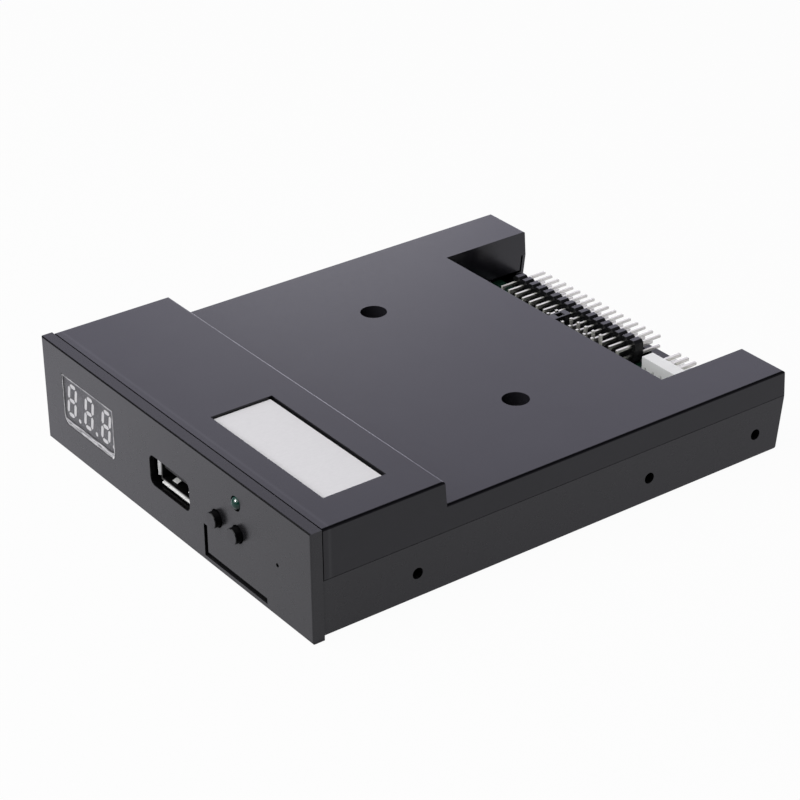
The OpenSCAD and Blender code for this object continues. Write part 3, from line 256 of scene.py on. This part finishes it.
def button_cap(name, colour, roughness):
    """Moulded button: a satin face to the front and sides with painted shade, dark and matt."""
    f = Finish(name)
    # Painted shade: the sides of the button are dark and matt, while the face to the front is not
    side = f.spread(f.facing("Y"), 0, 1, start=-0.9, end=-0.6)
    blotch = f.noise(2 * mm, detail=4)
    face = f.blend(f.spread(blotch, 0, 1), shade(colour, 0.9), shade(colour, 1.1))
    f.colour(f.blend(side, face, shade(colour, button_side_shade)))
    f.gloss(f.spread(side, button_face_gloss, button_side_shade_gloss, start=0, end=1))
    f.rough(f.spread(blotch, roughness - 0.03, roughness + 0.03))
    f.relief(f.noise(0.1 * mm, detail=2), 0.003 * mm)
    return f.material


def plated(name, colour, roughness, streak=(1, 1, 1), grain=0.5 * mm, metal=1.0, mouth=None, shaded_gaps=None):
    """Plated metal with faint drawn streaks.

    Behind a mouth at that place along Y it has painted shade, except where it leans to the front, and a
    line of painted shade across it. Given the width and place along Y of gaps, it has painted shade in
    gaps up to that width in front of that place.
    """
    f = Finish(name)
    f.set(metallic=metal)
    lines = f.noise(grain, detail=4, stretch=streak)
    tone = f.blend(f.spread(lines, 0, 1), shade(colour, streak_colour), colour)
    if mouth is not None:
        # Painted shade inside the socket behind its mouth, and a line of painted shade across it
        dark = shade(colour, mouth_shade)
        deep = f.spread(f.along("Y"), 0, 1, mouth + mouth_start, mouth + mouth_end)
        level = f.spread(f.facing("Y"), 0, 1, start=-0.2, end=-0.05)
        tone = f.blend(f.times(deep, level), tone, dark)
        tone = f.blend(f.line("Y", mouth + lip_line, lip_line_half), tone, dark)
    if shaded_gaps:
        # Painted shade on the pins in the gaps between them, in front of the given rear
        width, rear = shaded_gaps
        closed = f.spread(f.hollows(width), 1, 0, start=0.5, end=0.85)
        closed = f.times(closed, f.spread(f.along("Y"), 1, 0, rear - gap_end, rear))
        tone = f.blend(closed, tone, shade(colour, gap_shade))
    f.colour(tone)
    f.rough(f.spread(lines, roughness - 0.05, roughness + 0.08))
    f.relief(lines, 0.002 * mm)
    return f.material


def paper(name, colour):
    """Matt coated paper with fine fibres."""
    f = Finish(name)
    fibre = f.noise(0.35 * mm, detail=5, stretch=(1, 0.35, 1))
    f.colour(f.blend(f.spread(fibre, 0, 1), shade(colour, 0.95), colour))
    f.rough(f.spread(fibre, 0.55, 0.7))
    f.relief(fibre, 0.01 * mm)
    return f.material


def circuit(name, mask, copper):
    """Green solder mask with copper areas showing through it, and painted shade in its corners."""
    f = Finish(name)
    cells = f.add("ShaderNodeTexVoronoi", distance="CHEBYCHEV", feature="F1")
    cells.inputs["Scale"].default_value = 1 / copper_area
    f.join(f.place, cells.inputs["Vector"])
    areas = f.spread(cells.outputs["Distance"], 1, 0, start=0.38, end=0.42)
    # Painted shade on the board where it is closed in, up to the board's reach
    unshaded = f.spread(f.hollows(board_hollow), 0, 1, start=0.3, end=0.75)
    f.colour(f.blend(unshaded, shade(mask, board_hollow_shade), f.blend(areas, mask, copper)))
    f.rough(f.spread(f.noise(1.5 * mm), 0.22, 0.34))
    f.relief(areas, 0.03 * mm)
    return f.material


def tinted_lens(name, colour):
    """Clear cast resin with a tint and slight haze."""
    f = Finish(name)
    f.set(transmission_weight=0.3, ior=1.5, specular_ior_level=0.35)
    haze = f.noise(0.8 * mm)
    f.colour(f.blend(f.spread(haze, 0, 1), shade(colour, 0.8), colour))
    f.rough(f.spread(haze, 0.09, 0.13))
    return f.material


def clear_film(name, dull, clear):
    """Thin clear film that shows by its gloss and a faint haze."""
    f = Finish(name)
    wave = f.noise(4 * mm, detail=2)
    f.join(f.spread(wave, 0.02, 0.05), f.surface.inputs["Alpha"])
    f.colour(f.blend(f.spread(wave, 0, 1), dull, clear))
    f.rough(f.spread(wave, 0.12, 0.25))
    return f.material


def folded_film(name, dark, light):
    """Film turned over on itself, streaked along the fold."""
    f = Finish(name)
    streaks = f.noise(0.22 * mm, detail=3, stretch=(0.08, 1, 1))
    f.colour(f.blend(f.spread(streaks, 0, 1, start=0.42, end=0.62), dark, light))
    f.rough(f.spread(streaks, 0.2, 0.35))
    f.relief(streaks, 0.02 * mm)
    return f.material


cover_grey = (0.0125, 0.0120, 0.0150)
shell_grey = (0.0095, 0.0091, 0.0105)
case_reach = 1.2 * mm
# Painted highlight line along the top cover, this far behind its front edge
highlight_line_back = 1.5 * mm
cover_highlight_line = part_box("top_cover")[0][1] + highlight_line_back
bezel_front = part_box("lower_shell")[0][1]
# Box round the bezel's openings; the shell plastic has painted shade on the faces inside it
openings_half_w = 46 * mm
openings_start = 0.05 * mm
openings_depth = 2.6 * mm
openings_low = 2 * mm
openings_high = 22 * mm
bezel_openings = (
    (-openings_half_w, bezel_front + openings_start, openings_low),
    (openings_half_w, bezel_front + openings_depth, openings_high),
)
socket_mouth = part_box("usb_shell")[0][1]
pin_gap = 5 * mm
housing_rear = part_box("floppy_header_housing")[1][1]

# The case plastics carry painted shade and a painted sheen on faces that look up, and the cover also
# carries a painted highlight line
cover_plastic = moulded("cover_plastic", cover_grey, roughness=0.21, reach=case_reach, gloss=0.42,
                        top_gloss=0.78, edge="X", highlight_line=cover_highlight_line)
shell_plastic = moulded("shell_plastic", shell_grey, roughness=0.26, reach=case_reach, gloss=0.58,
                        top_gloss=0.6, edge="Y", openings=bezel_openings)
button_plastic = button_cap("button_plastic", shell_grey, roughness=0.24)
label_paper = paper("label_paper", (0.69, 0.678, 0.695))
black_plastic = moulded("black_plastic", (0.014, 0.014, 0.015), roughness=0.45, grain=0.08 * mm)
# Header plastic: painted shade in its hollows and a painted sheen on the cell tops
header_plastic = moulded("header_plastic", (0.008, 0.008, 0.0085), roughness=0.21, reach=0.8 * mm,
                         gloss=0.2, top_gloss=1.0)
insulator_plastic = moulded("insulator_plastic", (0.006, 0.006, 0.006), roughness=0.45)
white_plastic = moulded("white_plastic", (0.93, 0.93, 0.93), roughness=0.42, variation=0.02)
display_face = moulded("display_face", (0.030, 0.028, 0.033), roughness=0.45, grain=0.12 * mm,
                       depth=0.01 * mm)
segment_light = moulded("segment_light", (0.58, 0.57, 0.58), roughness=0.35, variation=0.06,
                        flow=1.5 * mm)
film_clear = clear_film("film_clear", dull=(0.75, 0.75, 0.78), clear=(0.9, 0.9, 0.93))
film_edge = moulded("film_edge", (0.37, 0.365, 0.375), roughness=0.25, variation=0.4, flow=2 * mm)
film_fold = folded_film("film_fold", dark=(0.14, 0.137, 0.145), light=(0.64, 0.63, 0.65))
tin = plated("tin", (0.82, 0.81, 0.78), roughness=0.28)
# Pin metal: painted shade in the gaps between the pins
pin_metal = plated("pin_metal", (1.0, 0.985, 0.92), roughness=0.16, streak=(1, 0.1, 0.1), metal=0.5,
                   shaded_gaps=(pin_gap, housing_rear))
# Socket steel: painted shade inside, behind the mouth
socket_steel = plated("socket_steel", (0.97, 0.97, 0.96), roughness=0.32, streak=(1, 0.1, 1), metal=0.4,
                      mouth=socket_mouth)
screw_steel = plated("screw_steel", (0.42, 0.42, 0.43), roughness=0.35)
gold = plated("gold", (0.86, 0.68, 0.36), roughness=0.25)
aluminium = plated("aluminium", (0.78, 0.78, 0.79), roughness=0.3)
board_green = circuit("board_green", mask=(0.003, 0.022, 0.012), copper=(0.006, 0.040, 0.021))
track_green = moulded("track_green", (0.007, 0.045, 0.024), roughness=0.25, variation=0.1, flow=2 * mm)
solder = plated("solder", (0.72, 0.72, 0.72), roughness=0.25, grain=0.3 * mm)
silk_ink = moulded("silk_ink", (0.70, 0.70, 0.67), roughness=0.6, grain=0.1 * mm)
lens_green = tinted_lens("lens_green", (0.002, 0.020, 0.014))
wire_red = moulded("wire_red", (0.36, 0.03, 0.02), roughness=0.35, variation=0.05)
resistor_glaze = moulded("resistor_glaze", (0.03, 0.025, 0.022), roughness=0.3)

# CAD nodes: material, and width of the rounding on their edges in millimetres
dressing = {
    "lower_shell": (shell_plastic, 0.1),
    "top_cover": (cover_plastic, 0.1),
    "label": (label_paper, 0),
    "case_screws": (screw_steel, 0.12),
    "main_board": (board_green, 0.05),
    "board_screws": (screw_steel, 0.1),
    "display_body": (display_face, 0.12),
    "display_segments": (segment_light, 0),
    "display_film": (film_clear, 0),
    "display_pins": (tin, 0.06),
    "display_board": (board_green, 0.05),
    "display_driver": (black_plastic, 0.1),
    "display_screws": (screw_steel, 0.06),
    "display_wires": (wire_red, 0),
    "usb_shell": (socket_steel, 0.08),
    "usb_insulator": (insulator_plastic, 0.1),
    "usb_contacts": (gold, 0.05),
    "left_button": (button_plastic, 0.05),
    "right_button": (button_plastic, 0.05),
    "left_dome": (tin, 0),
    "right_dome": (tin, 0),
    "switch_bases": (black_plastic, 0.1),
    "switch_frames": (tin, 0.05),
    "switch_pins": (tin, 0.05),
    "led_lens": (lens_green, 0.1),
    "led_leads": (tin, 0.05),
    "floppy_header_housing": (header_plastic, 0.1),
    "floppy_header_pins": (pin_metal, 0.06),
    "jumper_base": (header_plastic, 0.1),
    "jumper_pins": (pin_metal, 0.06),
    "jumper_cap": (header_plastic, 0.2),
    "jumper_clip": (gold, 0.04),
    "power_block": (white_plastic, 0.15),
    "power_pins": (pin_metal, 0.15),
    "controller_chip": (black_plastic, 0.1),
    "controller_legs": (tin, 0),
    "crystal_can": (aluminium, 0.3),
    "voltage_regulator": (black_plastic, 0.1),
    "regulator_legs": (tin, 0),
    "capacitor_bases": (black_plastic, 0.15),
    "capacitor_cans": (aluminium, 0.35),
    "chip_resistors": (resistor_glaze, 0.06),
}
weld_reach = 0.001 * mm
rounding_segments = 3
sharp_angle = math.radians(35)


def dress(node, material, rounding):
    """Gives a CAD node its material and rounds its sharp edges."""
    piece = nodes[node]
    piece.data.materials.clear()
    piece.data.materials.append(material)
    if not rounding:
        return
    weld = piece.modifiers.new("weld", "WELD")
    weld.merge_threshold = weld_reach
    bevel = piece.modifiers.new("rounding", "BEVEL")
    bevel.width = rounding * mm
    bevel.segments = rounding_segments
    bevel.limit_method = "ANGLE"
    bevel.angle_limit = sharp_angle
    bevel.use_clamp_overlap = True
    normals = piece.modifiers.new("normals", "WEIGHTED_NORMAL")
    normals.keep_sharp = True


for node, (material, rounding) in dressing.items():
    dress(node, material, rounding)


# Pieces


def add_piece(name, mesh, material):
    """Turns a bmesh into a piece that rides on the case."""
    data = bpy.data.meshes.new(name)
    mesh.to_mesh(data)
    mesh.free()
    data.materials.append(material)
    piece = bpy.data.objects.new(name, data)
    scene.collection.objects.link(piece)
    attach(piece, "case")
    return piece


def smooth(piece):
    for face in piece.data.polygons:
        face.use_smooth = True


def skin(mesh, rings, closed=False):
    """Joins rings of points with faces, round to the first ring if closed, or else with two end faces."""
    following = rings[1:] + rings[:1] if closed else rings[1:]
    for a, b in zip(rings, following):
        for i in range(len(a)):
            j = (i + 1) % len(a)
            mesh.faces.new((a[i], a[j], b[j], b[i]))
    if not closed:
        mesh.faces.new(rings[0][::-1])
        mesh.faces.new(rings[-1])


def revolve(mesh, profile, at, steps=20):
    """Adds a solid of revolution about the vertical through at. profile holds radius and height pairs."""
    rings = []
    for radius, height in profile:
        ring = []
        for i in range(steps):
            a = 2 * math.pi * i / steps
            point = at + Vector((radius * math.cos(a), radius * math.sin(a), height))
            ring.append(mesh.verts.new(point))
        rings.append(ring)
    skin(mesh, rings)


def ribbon(mesh, points, width, z, thickness, mitre_limit=0.4):
    """Adds a flat strip on the plane z that follows points in X and Y."""
    path = [Vector((x, y, 0)) for x, y in points]
    low = Vector((0, 0, z))
    high = Vector((0, 0, z + thickness))
    rings = []
    for i, p in enumerate(path):
        before = (p - path[i - 1]).normalized() if i else None
        after = (path[i + 1] - p).normalized() if i < len(path) - 1 else None
        straight = before or after
        along = straight + (after or before)
        along.normalize()
        reach = width / 2 / max(mitre_limit, along.dot(straight))
        side = Vector((-along.y, along.x, 0))
        left = p + side * reach
        right = p - side * reach
        rings.append([mesh.verts.new(v) for v in (left + low, right + low, right + high, left + high)])
    skin(mesh, rings)


# Soldered legs, tracks and printed lines on the part of the board that shows in the rear bay
pitch = 2.54 * mm
pin_w = 0.64 * mm
columns = 17
header_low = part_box("floppy_header_pins")[0]
jumper_low, jumper_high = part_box("jumper_base")
power_low, power_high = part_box("power_block")
board_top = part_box("main_board")[1][2]
first_column = header_low[0] + pin_w / 2
high_leg_y = header_low[1] + pin_w / 2
leg_rows = (high_leg_y, high_leg_y + pitch)
solder_profile = (
    (0.85 * mm, 0),
    (0.84 * mm, 0.05 * mm),
    (0.62 * mm, 0.16 * mm),
    (0.47 * mm, 0.5 * mm),
)
track_w = 0.35 * mm
track_h = 0.03 * mm
track_start = 0.6 * mm
track_past = 3 * mm
track_front = jumper_low[1] - track_past

joints = bmesh.new()
tracks = bmesh.new()
for i in range(columns):
    x = first_column + i * pitch
    for row, y in enumerate(leg_rows):
        revolve(joints, solder_profile, Vector((x, y, board_top)))
        sideways = pitch / 2 if row else 0
        bend = x + sideways
        bend_y = y - track_start
        route = ((x, y), (x, bend_y), (bend, bend_y - abs(bend - x)), (bend, track_front))
        ribbon(tracks, route, track_w, board_top, track_h)
smooth(add_piece("solder_joints", joints, solder))
add_piece("board_tracks", tracks, track_green)

ink_w = 0.18 * mm
ink_h = 0.04 * mm
ink_margin = 0.35 * mm
print_lines = bmesh.new()


def print_outline(low, high):
    """Adds four printed lines round a box that stands on the board."""
    x0, y0 = low[0] - ink_margin, low[1] - ink_margin
    x1, y1 = high[0] + ink_margin, high[1] + ink_margin
    corners = ((x0, y0), (x1, y0), (x1, y1), (x0, y1), (x0, y0))
    for a, b in zip(corners, corners[1:]):
        ribbon(print_lines, (a, b), ink_w, board_top, ink_h)


print_outline(jumper_low, jumper_high)
print_outline(power_low, (power_high[0], housing_rear))
add_piece("board_print", print_lines, silk_ink)

# Cut edge of the film over the display
film_low, film_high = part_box("display_film")
film_mid = (Vector(film_low) + Vector(film_high)) / 2
film_half_w = (film_high[0] - film_low[0]) / 2
film_half_h = (film_high[2] - film_low[2]) / 2
film_r = 2 * mm
film_corner_steps = 8
edge_w = 0.28 * mm
edge_out = 0.06 * mm
edge_front = film_low[1] - edge_out


def film_outline(inset):
    """Points round the film, square at the top and round at the bottom."""
    x = film_half_w - inset
    z = film_half_h - inset
    r = film_r - inset
    points = [(-x, z), (x, z)]
    for centre, start in ((x - r, 0), (r - x, -90)):
        for step in range(film_corner_steps + 1):
            a = math.radians(start - 90 * step / film_corner_steps)
            points.append((centre + r * math.cos(a), r - z + r * math.sin(a)))
    return points


edge = bmesh.new()
rings = []
for inset, y in ((0, film_low[1]), (0, edge_front), (edge_w, edge_front), (edge_w, film_low[1])):
    ring = []
    for x, z in film_outline(inset):
        ring.append(edge.verts.new((film_mid.x + x, y, film_mid.z + z)))
    rings.append(ring)
skin(edge, rings, closed=True)
add_piece("display_film_edge", edge, film_edge)

# Lower edge of the film, turned over on itself
fold_h = 1.0 * mm
fold_least_h = 0.05 * mm
fold_out = 0.03 * mm
fold_half_w = film_half_w - edge_w
fold_half_h = film_half_h - edge_w
fold_r = film_r - edge_w
fold_steps = 40
fold = bmesh.new()
rings = []
for i in range(fold_steps + 1):
    x = fold_half_w * (2 * i / fold_steps - 1)
    corner = max(0, abs(x) - (fold_half_w - fold_r))
    low_z = fold_r - fold_half_h - math.sqrt(fold_r ** 2 - corner ** 2)
    high_z = max(low_z + fold_least_h, fold_h - fold_half_h)
    ring = []
    for y, z in ((0, low_z), (0, high_z), (-fold_out, high_z), (-fold_out, low_z)):
        ring.append(fold.verts.new((film_mid.x + x, film_low[1] + y, film_mid.z + z)))
    rings.append(ring)
skin(fold, rings)
add_piece("display_film_fold", fold, film_fold)

# Small end of the film, bent out at its lower right corner
tab_w = 0.5 * mm
tab_h = 0.55 * mm
tab_out = 0.25 * mm
tab_t = 0.08 * mm
tab_inset = 0.75 * mm
tab_lift = 0.25 * mm
tab_x = film_high[0] - tab_inset
tab_z = film_low[2] + tab_lift
tab = bmesh.new()
rings = []
for x in (tab_x, tab_x + tab_w):
    ring = []
    for y, z in ((0, tab_z + tab_h), (-tab_out, tab_z), (tab_t - tab_out, tab_z), (tab_t, tab_z + tab_h)):
        ring.append(tab.verts.new((x, edge_front + y, z)))
    rings.append(ring)
skin(tab, rings)
add_piece("display_film_tab", tab, segment_light)

# Snap domes behind the buttons, copied into pieces with meshes of their own; a real dome flattens as its
# button is pressed
bpy.context.view_layer.update()
for side in ("left", "right"):
    node = f"{side}_dome"
    spring = bpy.data.objects.new(f"{side}_snap_dome", nodes[node].data.copy())
    spring.matrix_world = nodes[node].matrix_world
    scene.collection.objects.link(spring)
    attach(spring, "case")
    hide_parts(node)
    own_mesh(spring)

# Floor, light and camera
floor_size = 6.0
floor_drop = 0.2 * mm
floor_paint = (0.45, 0.45, 0.45)
floor_gloss_tint = (0.93, 0.92, 1.0)
floor_shares = {"Is Camera Ray": 0.965, "Is Transmission Ray": 0.965}


def light_share(tree, shares):
    """Largest of the given shares whose kind of ray is being followed."""
    ray = tree.nodes.new("ShaderNodeLightPath")
    total = None
    for kind, share in shares.items():
        part = tree.nodes.new("ShaderNodeMath")
        part.operation = "MULTIPLY"
        part.inputs[1].default_value = share
        tree.links.new(ray.outputs[kind], part.inputs[0])
        if total is None:
            total = part.outputs[0]
            continue
        more = tree.nodes.new("ShaderNodeMath")
        more.operation = "MAXIMUM"
        tree.links.new(total, more.inputs[0])
        tree.links.new(part.outputs[0], more.inputs[1])
        total = more.outputs[0]
    return total


def backdrop_finish(name, colour, shares, tint):
    """White to the eye, with a share of real light so that the shadow stays.

    Gloss sees it tinted, dimmer to the right, most of all beside the object, and dimmer to the front.
    """
    f = Finish(name)
    across = f.spread(f.along("X"), 1.15, 0.55, start=-0.07, end=0.035)
    beside = f.spread(f.along("X"), 1.0, 0.82, start=0.035, end=0.06)
    back = f.spread(f.along("Y"), 0.9, 1.15, start=-0.06, end=0.07)
    gloss_ray = light_share(f.tree, {"Is Glossy Ray": 1.0})
    gloss = f.times(f.times(across, beside), f.times(back, gloss_ray))
    total = f.add("ShaderNodeMath", operation="MAXIMUM")
    f.join(gloss, total.inputs[0])
    f.join(light_share(f.tree, shares), total.inputs[1])
    paint = f.add("ShaderNodeBsdfDiffuse")
    paint.inputs["Color"].default_value = (*colour, 1)
    glow = f.add("ShaderNodeEmission")
    f.join(f.blend(gloss_ray, (1, 1, 1), tint), glow.inputs["Color"])
    mix = f.add("ShaderNodeMixShader")
    f.join(total.outputs[0], mix.inputs["Fac"])
    f.join(paint.outputs["BSDF"], mix.inputs[1])
    f.join(glow.outputs["Emission"], mix.inputs[2])
    f.join(mix.outputs["Shader"], f.tree.nodes["Material Output"].inputs["Surface"])
    return f.material


floor_mesh = bmesh.new()
bmesh.ops.create_grid(floor_mesh, x_segments=1, y_segments=1, size=floor_size / 2)
floor_data = bpy.data.meshes.new("floor")
floor_mesh.to_mesh(floor_data)
floor_mesh.free()
floor_white = backdrop_finish("floor_white", floor_paint, floor_shares, floor_gloss_tint)
floor_data.materials.append(floor_white)
floor = bpy.data.objects.new("floor", floor_data)
floor.location.z = -floor_drop
scene.collection.objects.link(floor)

# World: dim light all round, which the eye sees as white
ambient_colour = (0.92, 0.94, 1.0, 1)
ambient_strength = 0.12
gloss_tint = (0.85, 0.825, 1.0, 1)
dim = 0.06
eye_rays = {"Is Camera Ray": 1.0}
backdrop_rays = {"Is Camera Ray": 1.0, "Is Glossy Ray": 1.0, "Is Transmission Ray": 1.0}

world = bpy.data.worlds.new("studio")
world.use_nodes = True
scene.world = world
sky = world.node_tree
ambient = sky.nodes["Background"]
ambient.inputs["Color"].default_value = ambient_colour
ambient.inputs["Strength"].default_value = ambient_strength
direction = sky.nodes.new("ShaderNodeTexCoord")
sky_axes = sky.nodes.new("ShaderNodeSeparateXYZ")
sky.links.new(direction.outputs["Generated"], sky_axes.inputs["Vector"])


def fade(axis, start, end, low, high):
    """Level from low to high as a direction's share along an axis goes from start to end."""
    node = sky.nodes.new("ShaderNodeMapRange")
    node.inputs["From Min"].default_value = start
    node.inputs["From Max"].default_value = end
    node.inputs["To Min"].default_value = low
    node.inputs["To Max"].default_value = high
    sky.links.new(sky_axes.outputs[axis], node.inputs["Value"])
    return node.outputs["Result"]


def sky_math(operation, first, second):
    node = sky.nodes.new("ShaderNodeMath")
    node.operation = operation
    sky.links.new(first, node.inputs[0])
    sky.links.new(second, node.inputs[1])
    return node.outputs[0]


# Gloss and clear pieces see a pale backdrop behind and beside the object, and a dim ceiling and front
backdrop = sky.nodes.new("ShaderNodeBackground")
tint = sky.nodes.new("ShaderNodeMix")
tint.data_type = "RGBA"
socket(tint.inputs, "A_Color").default_value = gloss_tint
socket(tint.inputs, "B_Color").default_value = (1, 1, 1, 1)
sky.links.new(light_share(sky, eye_rays), tint.inputs["Factor"])
sky.links.new(socket(tint.outputs, "Result_Color"), backdrop.inputs["Color"])
wall = fade("Z", start=0.40, end=0.56, low=1.0, high=0.66)
ceiling = fade("Z", start=0.56, end=0.70, low=1.0, high=dim)
front = fade("Y", start=-0.40, end=0.10, low=dim, high=1.0)
gloss_level = sky_math("MINIMUM", sky_math("MULTIPLY", wall, ceiling), front)
level = sky_math("MAXIMUM", gloss_level, light_share(sky, eye_rays))
sky.links.new(level, backdrop.inputs["Strength"])
sky_mix = sky.nodes.new("ShaderNodeMixShader")
sky.links.new(light_share(sky, backdrop_rays), sky_mix.inputs["Fac"])
sky.links.new(ambient.outputs["Background"], sky_mix.inputs[1])
sky.links.new(backdrop.outputs["Background"], sky_mix.inputs[2])
sky.links.new(sky_mix.outputs["Shader"], sky.nodes["World Output"].inputs["Surface"])


def area_light(name, place, size, power, colour=(1, 1, 1)):
    """Round lamp that looks at the origin."""
    lamp = bpy.data.lights.new(name, "AREA")
    lamp.color = colour
    lamp.shape = "DISK"
    lamp.size = size
    lamp.energy = power
    light = bpy.data.objects.new(name, lamp)
    light.location = place
    light.rotation_mode = "QUATERNION"
    light.rotation_quaternion = (-Vector(place)).to_track_quat("-Z", "Y")
    scene.collection.objects.link(light)
    return light


area_light("key", (-0.04, -0.36, 0.44), size=0.9, power=5.5)

# Small bright lamp that only the indicator shows, as a white spot on its dome
spark = area_light("spark", (-0.06, -0.42, 0.37), size=0.19, power=6.5)
spark_sees = bpy.data.collections.new("spark_sees")
spark_sees.objects.link(nodes["led_lens"])
spark.light_linking.receiver_collection = spark_sees

area_light("back", (-0.83, 0.53, 0.36), size=0.25, power=0.085)
area_light("rim", (-0.73, 0.68, 0.125), size=0.22, power=0.38, colour=(0.9, 0.88, 1.0))

camera_at = Vector((384.40, -283.44, 274.65)) * mm
camera_aim = Vector((0.38, -2.89, 12.0)) * mm
camera_roll = math.radians(-0.625)
camera_data = bpy.data.cameras.new("camera")
camera_data.lens = 113.78
camera_data.sensor_width = 36.0
camera_data.clip_start = 0.01
camera_data.clip_end = 20.0
camera = bpy.data.objects.new("camera", camera_data)
camera.location = camera_at
camera.rotation_mode = "QUATERNION"
tracked = (camera_aim - camera_at).to_track_quat("-Z", "Y")
camera.rotation_quaternion = tracked @ Quaternion((0, 0, 1), camera_roll)
scene.collection.objects.link(camera)
scene.camera = camera
scene.view_settings.view_transform = "Standard"
